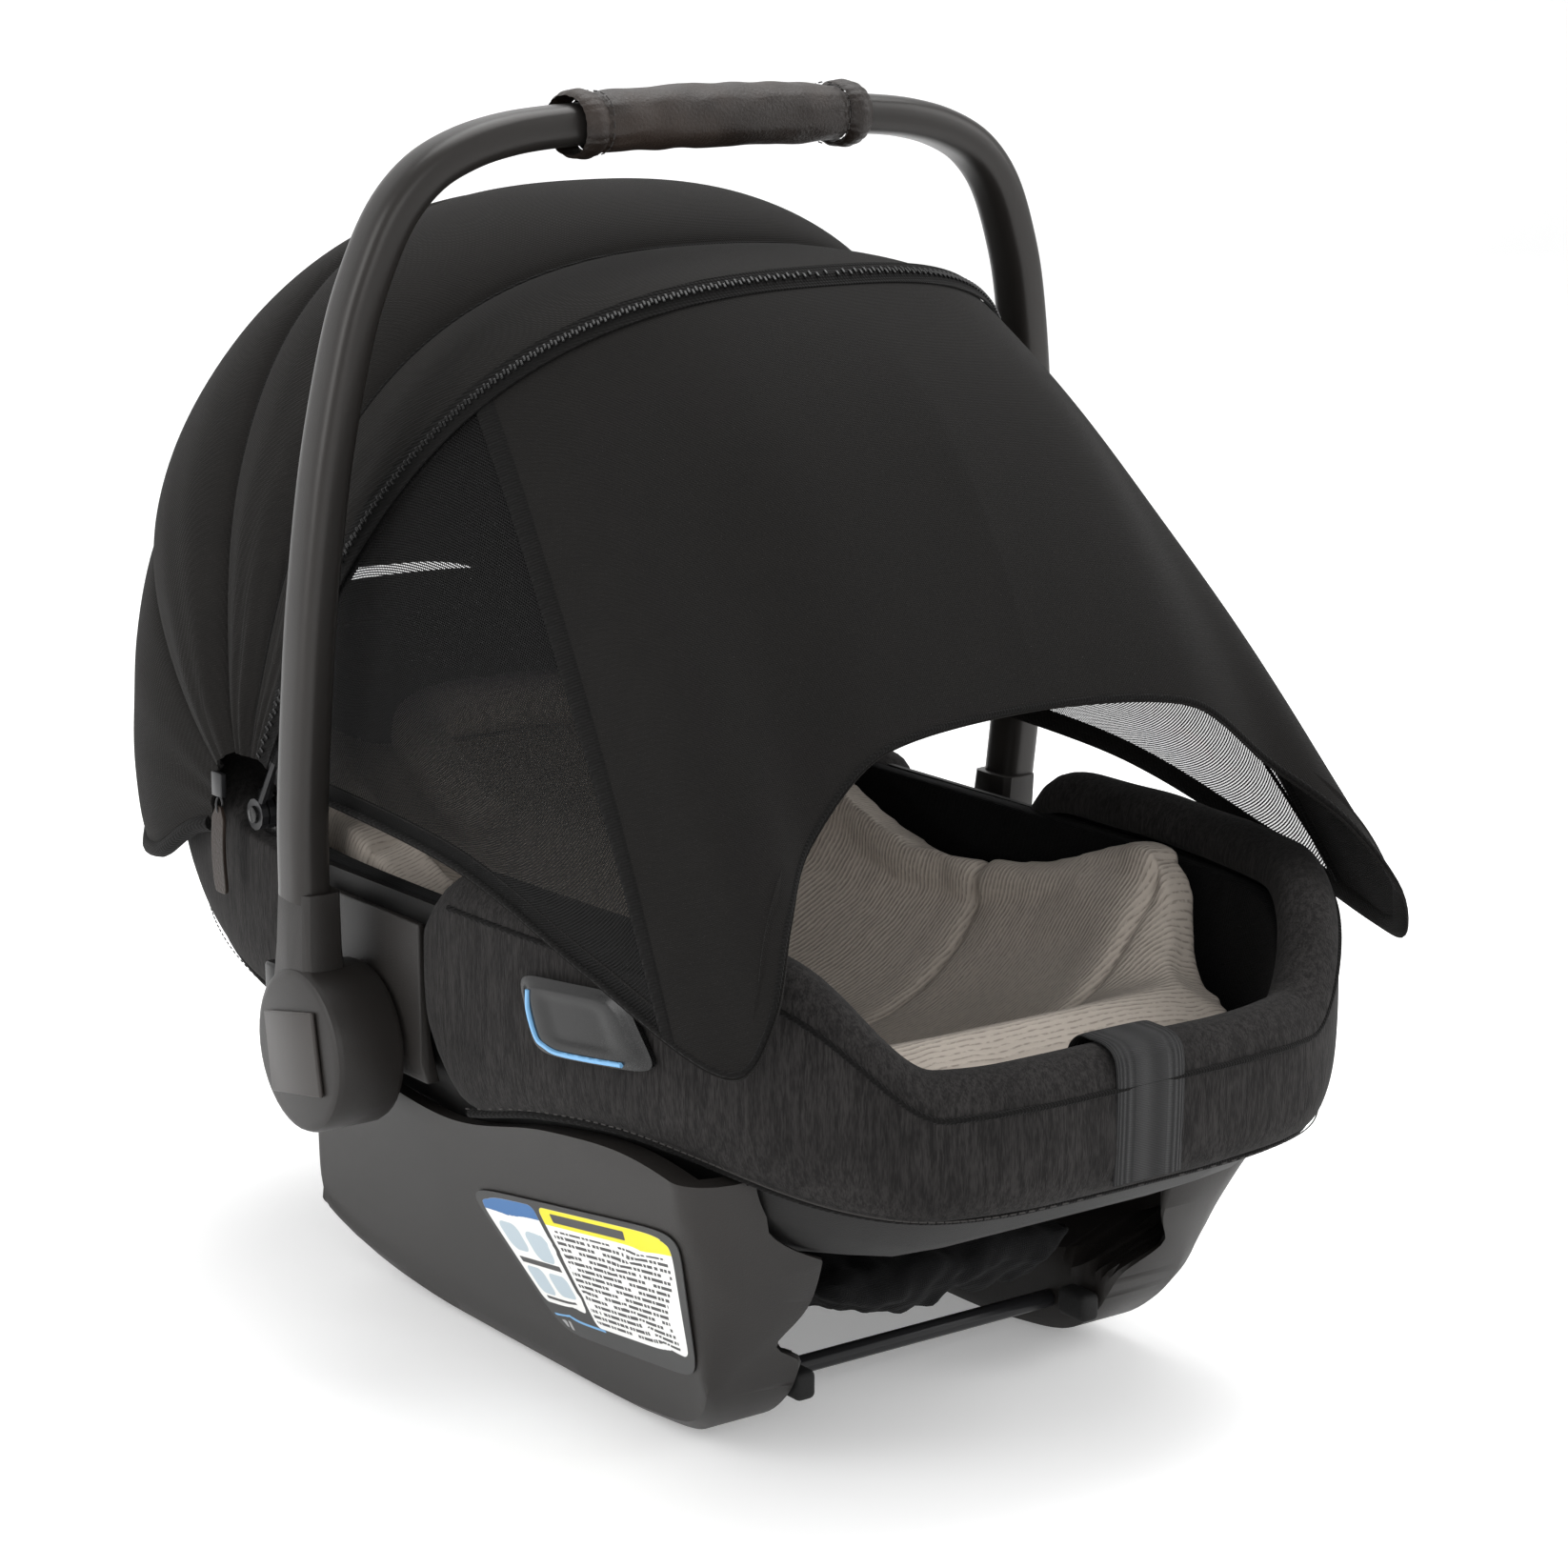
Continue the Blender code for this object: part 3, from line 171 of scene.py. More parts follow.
def shade(item, degrees=40):
    only(item)
    bpy.ops.object.shade_smooth_by_angle(angle=math.radians(degrees))
    return item


def lay_sheet(name, columns, rows, place):
    """A grid whose point at shares u, v lies at place(u, v); its face looks along du x dv."""
    bpy.ops.object.select_all(action="DESELECT")
    bpy.ops.mesh.primitive_grid_add(x_subdivisions=columns, y_subdivisions=rows, size=1)
    item = bpy.context.object
    item.name = name
    for point in item.data.vertices:
        point.co = place(point.co.x + 0.5, point.co.y + 0.5)
    return item


def wrap_roll(name, around, along, place, ends=True):
    """A closed roll: u runs once round, v from end to end, and the ends are filled."""
    item = lay_sheet(name, around, along, place)
    edit(item, (bpy.ops.mesh.remove_doubles, {"threshold": 0.000005}))
    if ends:
        only(item)
        bpy.ops.object.mode_set(mode="EDIT")
        bpy.ops.mesh.select_all(action="DESELECT")
        bpy.ops.mesh.select_mode(type="EDGE")
        bpy.ops.mesh.select_non_manifold()
        bpy.ops.mesh.fill()
        bpy.ops.object.mode_set(mode="OBJECT")
    edit(item, (bpy.ops.mesh.normals_make_consistent, {"inside": False}))
    return item


def thicken(item, thickness, offset=0.0):
    return modify(item, "SOLIDIFY", thickness=thickness, offset=offset, use_even_offset=True)


def curve_through(points, count, closed=False):
    """Even points on a smooth curve through the given ones."""
    knots = [Vector(p) for p in points]
    total = len(knots) if closed else len(knots) - 1
    dense = []
    for k in range(total):
        a = knots[k - 1] if closed or k > 0 else knots[0] * 2 - knots[1]
        b = knots[k]
        c = knots[(k + 1) % len(knots)]
        if closed or k + 2 < len(knots):
            d = knots[(k + 2) % len(knots)]
        else:
            d = knots[-1] * 2 - knots[-2]
        for i in range(12):
            t = i / 12
            dense.append(0.5 * (2 * b + (c - a) * t + (2 * a - 5 * b + 4 * c - d) * t * t
                                + (3 * b - a - 3 * c + d) * t ** 3))
    dense.append(dense[0].copy() if closed else knots[-1])
    lengths = [0.0]
    for a, b in zip(dense, dense[1:]):
        lengths.append(lengths[-1] + (b - a).length)
    spaced, k = [], 0
    steps = count if closed else count - 1
    for i in range(count):
        goal = lengths[-1] * i / steps
        while k < len(lengths) - 2 and lengths[k + 1] < goal:
            k += 1
        span = max(lengths[k + 1] - lengths[k], 1e-9)
        spaced.append(dense[k].lerp(dense[k + 1], (goal - lengths[k]) / span))
    return spaced


def pick(values, share):
    """Value at a share of the way along a list, blended between its neighbours."""
    place = min(max(share, 0.0), 1.0) * (len(values) - 1)
    k = min(int(place), len(values) - 2)
    return values[k].lerp(values[k + 1], place - k)


def rod(name, points, radius, sides=10, count=None, closed=False):
    """A round cord through points, as a mesh roll."""
    path = curve_through(points, count or len(points) * 4, closed)
    if closed:
        path.append(path[0].copy())
    last = len(path) - 1
    first_up = Vector((0, 0, 1)) if abs((path[1] - path[0]).normalized().z) < 0.9 else Vector((0, 1, 0))
    ups, up = [], first_up
    for k in range(last + 1):
        along = (path[min(k + 1, last)] - path[max(k - 1, 0)]).normalized()
        up = (up - along * up.dot(along)).normalized()
        ups.append((up.copy(), along.cross(up)))

    def place(u, v):
        k = round(v * last)
        up, side = ups[k]
        turn = 2 * math.pi * (u % 1.0)
        return path[k] + (up * math.cos(turn) + side * math.sin(turn)) * radius
    return shade(wrap_roll(name, sides, last, place, ends=not closed), 60)


def rounded(value, power):
    return math.copysign(abs(value) ** (2.0 / power), value)


def smooth_step(low, high, value):
    s = min(max((value - low) / (high - low), 0.0), 1.0)
    return s * s * (3 - 2 * s)


def between(knots, t):
    """Smooth value through (t, value) knots, level at the two ends."""
    if t <= knots[0][0]:
        return knots[0][1]
    if t >= knots[-1][0]:
        return knots[-1][1]
    slopes = [0.0]
    for (t0, v0), _, (t2, v2) in zip(knots, knots[1:], knots[2:]):
        slopes.append((v2 - v0) / (t2 - t0))
    slopes.append(0.0)
    for k in range(len(knots) - 1):
        (t0, v0), (t1, v1) = knots[k], knots[k + 1]
        if t <= t1:
            span = t1 - t0
            s = (t - t0) / span
            return (v0 * (1 + 2 * s) * (1 - s) ** 2 + slopes[k] * span * s * (1 - s) ** 2
                    + v1 * s * s * (3 - 2 * s) + slopes[k + 1] * span * s * s * (s - 1))


def push_out(item, amount):
    """Moves every point along its normal by amount(place, normal); the normals are read first."""
    homes = [(point.co.copy(), point.normal.copy()) for point in item.data.vertices]
    for point, (co, normal) in zip(item.data.vertices, homes):
        point.co = co + normal * amount(co, normal)


def crumple(point, scale, amount, seed=0.0):
    """A slow uneven push, for cloth that isn't ironed flat."""
    return noise.noise(Vector(point) * scale + Vector((seed, seed * 0.7, 0))) * amount


print("helpers ready")

# %% [markdown]
# ## Shader maths
# A finish is easier to read as sums and products than as a page of node calls. `Wire` wraps a
# node's output and adds a Math node for each operator, and `Finish` owns one material.

# %% Shader maths
class Wire:
    """The output of a node; arithmetic on it adds Math nodes."""

    def __init__(self, socket):
        self.socket = socket

    def math(self, operation, *others, clamp=False):
        node = self.socket.id_data.nodes.new("ShaderNodeMath")
        node.operation = operation
        node.use_clamp = clamp
        for entry, value in zip(node.inputs, (self, *others)):
            feed(entry, value)
        return Wire(node.outputs[0])

    def __add__(self, other):
        return self.math("ADD", other)

    def __mul__(self, other):
        return self.math("MULTIPLY", other)

    def __sub__(self, other):
        return self.math("SUBTRACT", other)

    def __truediv__(self, other):
        return self.math("DIVIDE", other)

    def __rsub__(self, other):
        return (self * -1.0) + other

    def __gt__(self, other):
        return self.math("GREATER_THAN", other)

    def __lt__(self, other):
        return self.math("LESS_THAN", other)

    __radd__ = __add__
    __rmul__ = __mul__

    def wave(self):
        return self.math("SINE") * 0.5 + 0.5

    def soft(self, low, high):
        """0 below low, 1 above high and smooth between."""
        share = ((self - low) * (1.0 / (high - low))).math("ADD", 0.0, clamp=True)
        return share * share * (3.0 - share * 2.0)

    def greatest(self, other):
        return self.math("MAXIMUM", other)

    def least(self, other):
        return self.math("MINIMUM", other)


def feed(entry, value):
    if isinstance(value, Wire):
        entry.id_data.links.new(value.socket, entry)
    elif isinstance(value, tuple) and len(value) == 3 and entry.type == "RGBA":
        entry.default_value = (*value, 1.0)
    else:
        entry.default_value = value


class Finish:
    """One material: a Principled shader and the nodes that feed it."""

    def __init__(self, name, colour, roughness, metallic=0.0, **constants):
        self.material = bpy.data.materials.new(name)
        self.material.use_nodes = True
        self.tree = self.material.node_tree
        self.shader = self.tree.nodes["Principled BSDF"]
        self.set(Base_Color=colour, Roughness=roughness, Metallic=metallic, **constants)

    def set(self, **sockets):
        for name, value in sockets.items():
            feed(self.shader.inputs[name.replace("_", " ")], value)
        return self

    def node(self, kind, settings=(), inputs=(), output=0):
        made = self.tree.nodes.new("ShaderNode" + kind)
        for key, value in dict(settings).items():
            setattr(made, key, value)
        for key, value in dict(inputs).items():
            feed(made.inputs[key], value)
        return Wire(made.outputs[output])

    def place(self, output="Object", scale=(1, 1, 1), turn=0.0):
        point = self.node("TexCoord", output=output)
        return self.node("Mapping", inputs={"Vector": point, "Scale": scale,
                                            "Rotation": (0.0, 0.0, turn)})

    def uv(self, width, length):
        """The piece's own map in metres: u across its width and v along its length."""
        point = self.place("UV")
        parts = self.tree.nodes.new("ShaderNodeSeparateXYZ")
        feed(parts.inputs[0], point)
        return Wire(parts.outputs[0]) * width, Wire(parts.outputs[1]) * length

    def axes(self, scale=(1, 1, 1)):
        parts = self.tree.nodes.new("ShaderNodeSeparateXYZ")
        feed(parts.inputs[0], self.place("Object", scale))
        return [Wire(entry) for entry in parts.outputs]

    def grain(self, scale, detail=3.0, stretch=(1, 1, 1), source="Object", roughness=0.5):
        return self.node("TexNoise", inputs={"Vector": self.place(source, stretch), "Scale": scale,
                                             "Detail": detail, "Roughness": roughness})

    def cells(self, scale, feature="F1", output="Distance"):
        return self.node("TexVoronoi", {"feature": feature},
                         {"Vector": self.place(), "Scale": scale}, output)

    def mix(self, mask, first, second):
        made = self.tree.nodes.new("ShaderNodeMix")
        made.data_type = "RGBA"
        for index, value in ((0, mask), (6, first), (7, second)):
            feed(made.inputs[index], value)
        return Wire(made.outputs[2])

    def bump(self, height, distance=0.001, strength=1.0):
        made = self.node("Bump", inputs={"Height": height, "Distance": distance,
                                         "Strength": strength})
        feed(self.shader.inputs["Normal"], made)
        return self


print("shader helpers ready")

# %% [markdown]
# ## Fabric finishes
# Black cloth is never one black. Each cloth here has a fine weave for its bump, a slow mottle for
# its colour, and a sheen that catches light at grazing angles as real fibres do. The mesh shade
# has true holes, and the heathered cover has short streaks where pale and dark yarns alternate.

# %% Fabric finishes
def woven(name, dark, light, pitch=0.0011, mottle=60.0, sheen=0.25, roughness=0.88, depth=0.00025):
    """Plain cloth: two crossed thread waves and a slow mottle."""
    cloth = Finish(name, dark, roughness, Sheen_Weight=sheen, Sheen_Roughness=0.4,
                   Specular_IOR_Level=0.10)
    x, y, z = cloth.axes()
    turns = 2 * math.pi / pitch
    warp = ((x + y * 0.35) * turns).wave()
    weft = ((z + y * 0.45) * turns).wave()
    slow = cloth.grain(mottle, 4.0)
    fibre = cloth.grain(900.0, 2.0)
    mask = (warp * weft) * 0.10 + slow * 0.45 + fibre * 0.45
    cloth.set(Base_Color=cloth.mix(mask.soft(0.2, 0.9), dark, light))
    cloth.set(Roughness=slow * 0.12 + (roughness - 0.06))
    return cloth.bump(warp * 0.5 + weft * 0.5 + fibre * 0.4, depth)


def heathered(name, dark, light, sheen=0.3, streak=(1, 1, 0.14), contrast=(0.36, 0.66)):
    """Melange cloth: short streaks of pale yarn in a dark ground."""
    cloth = Finish(name, dark, 0.9, Sheen_Weight=sheen, Sheen_Roughness=0.45,
                   Specular_IOR_Level=0.10)
    fine = cloth.grain(1500.0, 2.0, streak)
    coarse = cloth.grain(420.0, 3.0, streak)
    slow = cloth.grain(30.0, 2.0)
    mask = (fine * 0.5 + coarse * 0.5).soft(*contrast)
    ground = cloth.mix(mask, dark, light)
    deep = tuple(value * 0.6 for value in dark)
    cloth.set(Base_Color=cloth.mix(slow.soft(0.3, 0.8) * 0.35, ground, deep))
    return cloth.bump(fine + coarse * 0.6, 0.0003)


def pinstriped(name, dark, light, pitch=0.0034):
    """Ribbed knit with fine dark lines that run along the piece."""
    knit = Finish(name, light, 0.92, Sheen_Weight=0.06, Sheen_Roughness=0.5,
                  Specular_IOR_Level=0.15)
    x, y, z = knit.axes()
    wander = knit.grain(28.0, 2.0) * 0.006
    rib = ((y + z * 0.25 + wander) * (2 * math.pi / pitch)).wave()
    yarn = knit.grain(900.0, 3.0, (0.3, 1, 0.3))
    slow = knit.grain(16.0, 2.0)
    line = rib.soft(0.62, 0.98) * yarn.soft(0.35, 0.6)
    tone = knit.mix(slow.soft(0.3, 0.75) * 0.4, light, tuple(value * 0.74 for value in light))
    knit.set(Base_Color=knit.mix(line * 0.75, tone, dark))
    return knit.bump(rib * 0.7 + yarn * 0.6, 0.00035)


def ribbed_webbing(name, width):
    """Seat-belt webbing: raised ribs along it and a herringbone across."""
    belt = Finish(name, (0.008, 0.008, 0.009), 0.5, Sheen_Weight=0.03,
                  Specular_IOR_Level=0.25)
    u, v = belt.uv(width, 1.0)
    rib = (u * (2 * math.pi / 0.0032)).wave()
    twill = ((v * 0.16 + u * 0.5) * (2 * math.pi / 0.0011)).wave()
    belt.set(Base_Color=belt.mix(rib * 0.6 + twill * 0.3, (0.0035, 0.0035, 0.0038), (0.0090, 0.0090, 0.0096)))
    belt.set(Roughness=0.62 - rib * 0.2)
    return belt.bump(rib + twill * 0.35, 0.0004)


def open_mesh(name, width, length, pitch=0.0017):
    """Sun-shade mesh: round holes in staggered rows, cut by the alpha."""
    net = Finish(name, (0.008, 0.008, 0.008), 0.7, Specular_IOR_Level=0.12)
    u, v = net.uv(width, length)
    turn = math.pi / pitch
    first = (u + v) * turn
    second = (u - v) * turn
    hole = first.math("SINE").math("ABSOLUTE") * second.math("SINE").math("ABSOLUTE")
    open_part = hole.soft(0.64, 0.74)
    net.set(Alpha=1.0 - open_part)
    net.set(Base_Color=net.mix(hole.soft(0.0, 0.4), (0.0075, 0.0072, 0.0070), (0.004, 0.004, 0.004)))
    return net.bump(1.0 - hole, 0.0004)


CANOPY_CLOTH = woven("canopy_cloth", (0.0080, 0.0074, 0.0069), (0.0135, 0.0125, 0.0116), sheen=0.02)
DRAPE_CLOTH = woven("drape_cloth", (0.0070, 0.0065, 0.0061), (0.0110, 0.0102, 0.0096), pitch=0.0009,
                    sheen=0.02)
BINDING = woven("binding_tape", (0.0040, 0.0038, 0.0037), (0.0080, 0.0076, 0.0073), pitch=0.0016,
                sheen=0.03, depth=0.0004)
COVER_CLOTH = heathered("cover_heather", (0.0100, 0.0094, 0.0092), (0.0270, 0.0252, 0.0246), sheen=0.03)
LINING = woven("black_lining", (0.0040, 0.0040, 0.0042), (0.0085, 0.0085, 0.0089), sheen=0.02)
INSERT_KNIT = pinstriped("insert_knit", (0.250, 0.216, 0.186), (0.540, 0.480, 0.420), 0.0026)
print("fabrics:", CANOPY_CLOTH.material.name, COVER_CLOTH.material.name, INSERT_KNIT.material.name)

# %% [markdown]
# ## Hard finishes
# The rocker and the hubs are moulded with a fine spark texture, so their highlight is broad and
# speckled. The handle is anodised aluminium with a fine, even grain. Leather gets pores from
# Voronoi cells and a slow sheen change where hands have polished it.

# %% Hard finishes
def moulded(name, colour, roughness=0.5, texture=0.00012, scale=1400.0):
    """Spark-textured plastic with faint flow marks."""
    plastic = Finish(name, colour, roughness, Specular_IOR_Level=0.32)
    spark = plastic.grain(scale, 3.0)
    flow = plastic.grain(7.0, 3.0)
    pale = tuple(value * 1.35 for value in colour)
    plastic.set(Base_Color=plastic.mix(flow.soft(0.35, 0.7) * 0.6, colour, pale))
    plastic.set(Roughness=flow * 0.12 + spark * 0.1 + (roughness - 0.1))
    return plastic.bump(spark, texture)


def leather(name, colour, pale):
    hide = Finish(name, colour, 0.5, Coat_Roughness=0.4, Specular_IOR_Level=0.3)
    pore = hide.cells(620.0)
    crease = hide.cells(520.0, "DISTANCE_TO_EDGE")
    worn = hide.grain(34.0, 4.0)
    hide.set(Base_Color=hide.mix(worn.soft(0.35, 0.75), colour, pale))
    hide.set(Roughness=worn * 0.25 + 0.34)
    return hide.bump(pore * 0.7 + crease.soft(0.0, 0.09) * 0.3, 0.0002)


def anodised(name, colour):
    metal = Finish(name, colour, 0.36, 0.3, Specular_IOR_Level=0.3, Coat_Weight=0.1,
                   Coat_Roughness=0.3)
    fine = metal.grain(1100.0, 2.0)
    slow = metal.grain(11.0, 2.0)
    metal.set(Roughness=slow * 0.08 + fine * 0.08 + 0.28)
    metal.set(Base_Color=metal.mix(slow, colour, tuple(value * 1.25 for value in colour)))
    return metal.bump(fine, 0.00004)


SHELL_PLASTIC = moulded("moulded_plastic", (0.0120, 0.0105, 0.0095), 0.46)
HUB_PLASTIC = moulded("hub_plastic", (0.0130, 0.0114, 0.0104), 0.42, 0.00008)
TUB_PLASTIC = moulded("tub_plastic", (0.0046, 0.0043, 0.0041), 0.6)
GLOSS_TRIM = moulded("gloss_trim", (0.006, 0.006, 0.006), 0.24, 0.00003)
PLATE_TRIM = moulded("hub_plate_trim", (0.028, 0.0245, 0.0225), 0.33, 0.00004)
HANDLE_METAL = anodised("handle_bronze_black", (0.0165, 0.0148, 0.0136))
GRIP_LEATHER = leather("grip_leather", (0.0110, 0.0072, 0.0054), (0.0240, 0.0160, 0.0120))
DARK_STEEL = moulded("dark_steel", (0.012, 0.012, 0.013), 0.32, 0.00002)
SPRING_STEEL = Finish("spring_steel", (0.30, 0.30, 0.31), 0.3, 1.0)
RUBBER = moulded("rubber", (0.006, 0.006, 0.006), 0.75, 0.0002, 900.0)
RELEASE_RED = moulded("release_red", (0.30, 0.012, 0.009), 0.35, 0.00003)
ACCENT_BLUE = Finish("accent_blue", (0.16, 0.37, 0.62), 0.45)
THREAD = Finish("stitch_thread", (0.016, 0.0135, 0.012), 0.7)
SPRING_STEEL.set(Roughness=SPRING_STEEL.grain(400.0) * 0.2 + 0.2)
ACCENT_BLUE.set(Roughness=ACCENT_BLUE.grain(300.0) * 0.15 + 0.36)
THREAD.set(Roughness=THREAD.grain(900.0) * 0.2 + 0.6)


def stage_floor():
    """A pale floor that curves up into a backdrop."""
    def place(u, v):
        reach = (v - 0.5) * 12.0
        rise = max(reach - 3.0, 0.0)
        return ((u - 0.5) * 14.0, min(reach, 3.0) + min(rise, 1.2) * 0.6, max(rise - 0.35, 0.0) * 1.2)
    floor = lay_sheet("floor", 8, 60, place)
    pale = Finish("floor_paint", (0.90, 0.90, 0.90), 0.9, Emission_Color=(1, 1, 1),
                  Emission_Strength=0.22)
    pale.set(Roughness=pale.grain(3.0) * 0.1 + 0.85)
    floor.data.materials.append(pale.material)
    shade(floor, 80)


stage_floor()
print("materials:", len(bpy.data.materials))

# %% [markdown]
# ## The tub's surface
# The cover, the lining and the plates on the sides all follow the tub, so its surface is a formula
# here: an oval in plan that is squarer at the foot, with walls that curl up out of the floor. Its
# overall size is read from the frame.

# %% The tub's surface
SHELL_LOW, SHELL_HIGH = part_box("shell")
HALF_WIDTH = SHELL_HIGH.x
FOOT = -SHELL_LOW.y
HEAD = SHELL_HIGH.y
HUB = Vector(JOINT["handle_fold"]["pos_m"])
CANOPY_PIN = Vector(JOINT["canopy_rear_fold"]["pos_m"])
RIM_FRONT, RIM_SIDE, RIM_HEAD = 0.180, 0.230, 0.285
HEM_KNOTS = [(-0.337, 0.144), (-0.300, 0.150), (-0.245, 0.162), (-0.200, 0.165), (-0.142, 0.158),
             (-0.045, 0.138), (0.056, 0.150), (0.200, 0.172), (0.290, 0.196), (0.326, 0.205)]


def floor_height(y):
    if y > 0.03:
        return 0.078 + 0.088 * ((y - 0.03) / (HEAD - 0.03)) ** 1.4
    if y < -0.12:
        return 0.078 + 0.020 * ((-0.12 - y) / (FOOT - 0.12)) ** 1.5
    return 0.078


def rim_height(x, y):
    if y < 0:
        return RIM_FRONT + (RIM_SIDE - RIM_FRONT) * smooth_step(0.098, 0.156, abs(x))
    return RIM_SIDE + (RIM_HEAD - RIM_SIDE) * smooth_step(CANOPY_PIN.y, HEAD, y)


def rim_point(angle):
    along = math.sin(angle)
    power, length = (4.0, FOOT) if along < 0 else (2.7, HEAD)
    x = rounded(math.cos(angle), power) * HALF_WIDTH
    y = rounded(along, power) * length
    return x, y, rim_height(x, y)


def rim_angle(y):
    """Angle of the rim point at this y, on the +X side."""
    if y < 0:
        return -math.asin((-y / FOOT) ** 2.0)
    return math.asin((y / HEAD) ** 1.35)


def tub_point(angle, reach):
    x, y, rim = rim_point(angle)
    turn = reach * math.pi / 2
    out = math.sin(turn) ** (2 / 3.5)
    up = 1 - abs(math.cos(turn)) ** (2 / 3.5)
    floor = floor_height(y * out)
    return Vector((x * out, y * out, floor + (rim - floor) * up))


def reach_at(angle, height):
    low, high = 0.3, 1.0
    for _ in range(22):
        middle = (low + high) / 2
        if tub_point(angle, middle).z < height:
            low = middle
        else:
            high = middle
    return high


def tub_normal(angle, reach):
    step = 0.01
    around = tub_point(angle + step, reach) - tub_point(angle - step, reach)
    up = tub_point(angle, min(reach, 0.995)) - tub_point(angle, min(reach, 0.995) - step)
    return around.cross(up).normalized()


def tub_half_width(y, z):
    low, high = 0.0, rim_point(rim_angle(y))[0]
    power, length = (4.0, FOOT) if y < 0 else (2.7, HEAD)
    for _ in range(22):
        middle = (low + high) / 2
        out = (abs(middle / HALF_WIDTH) ** power + abs(y / length) ** power) ** (1 / power)
        out = min(max(out, 0.001), 0.9999)
        rim = rim_height(middle / out, y / out)
        up = 1 - (1 - out ** 3.5) ** (1 / 3.5)
        if floor_height(y) + (rim - floor_height(y)) * up < z:
            low = middle
        else:
            high = middle
    return high


print("tub", [round(2 * HALF_WIDTH, 3), round(FOOT + HEAD, 3)], "hub", HUB[:], "pin", CANOPY_PIN[:])

# %% [markdown]
# ## Padded cover
# The cover is a closed padded roll that runs round one end of the tub: up the outside from a hem,
# over the rim as a thick soft edge, and down a little way inside. One cross-section, carried along
# the rim, gives it.

# %% Padded cover
COVER_SECTION = [  # share of the way from hem to rim, distance out, height above the rim
    (0.00, 0.0020, 0.0), (-0.02, 0.0060, 0.0), (0.06, 0.0098, 0.0), (0.30, 0.0118, 0.0),
    (0.65, 0.0122, 0.0), (1.00, 0.0116, 0.004), (1.00, 0.0100, 0.014), (1.00, 0.0040, 0.0235),
    (1.00, -0.0050, 0.0255), (1.00, -0.0135, 0.0205), (1.00, -0.0168, 0.0100), (1.00, -0.0150, 0.0048),
    (1.00, -0.0040, 0.0042), (1.00, 0.0018, 0.0010), (0.60, 0.0018, 0.0), (0.25, 0.0018, 0.0)]


def cover_ring(angle, roll, count=56):
    """Closed section of the cover at an angle; roll scales how far it rises over the rim."""
    hem = reach_at(angle, between(HEM_KNOTS, rim_point(angle)[1]))
    points = []
    for share, out, rise in COVER_SECTION:
        reach = min(hem + (1.0 - hem) * share, 1.0)
        normal = tub_normal(angle, reach)
        if rise:
            normal = Vector((normal.x, normal.y, 0)).normalized()
        points.append(tub_point(angle, reach) + normal * out + Vector((0, 0, rise * roll)))
    return curve_through(points, count + 1, closed=True)


def build_cover(name, body, start_y, columns, roll_at, replaced):
    start = rim_angle(start_y)
    first, last = (-math.pi - start, start) if start_y < 0 else (start, math.pi - start)
    rings = []
    for k in range(columns + 1):
        angle = first + (last - first) * k / columns
        ring = cover_ring(angle, roll_at(rim_point(angle)[1]))
        middle = sum(ring[:-1], Vector()) / (len(ring) - 1)
        squeeze = min(k, columns - k)
        shrink = (0.45, 0.86, 0.97, 1.0)[min(squeeze, 3)]
        rings.append([middle + (p - middle) * shrink for p in ring])

    def place(u, v):
        ring = rings[round(v * columns)]
        point = ring[round(u * 56) % 56]
        return point + Vector(point - sum(ring[:56], Vector()) / 56).normalized() * crumple(point, 22, 0.0014)
    cover = wrap_roll(name, 56, columns, place)
    subdivide_smoothly(cover)
    cover.data.materials.append(COVER_CLOTH.material)
    shade(cover, 60)
    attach(cover, body)
    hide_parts(*replaced)
    PIECES[name] = cover
    return first, last


FRONT_COVER = build_cover("padded_cover_front", "seat", -0.045, 150, lambda y: 1.0,
                          ["seat_cover_front", "rim_pad_front"])
HEAD_COVER = build_cover("padded_cover_head", "seat", 0.056, 120,
                         lambda y: 0.25 + 0.75 * smooth_step(0.10, 0.16, y),
                         ["seat_cover_head", "rim_pad_head"])
print("covers:", [len(PIECES[n].data.polygons) for n in ("padded_cover_front", "padded_cover_head")])

# %% [markdown]
# ### Hems and seams of the cover
# A hem is a thin rolled cord along the lower edge, and a line of stitches runs a few millimetres
# above it. The stitches are modelled once as a short bead and copied, because bump alone would
# vanish at the silhouette.

# %% Hems and seams of the cover
STITCH_LENGTH = 0.0032
STITCH_GAP = 0.0016


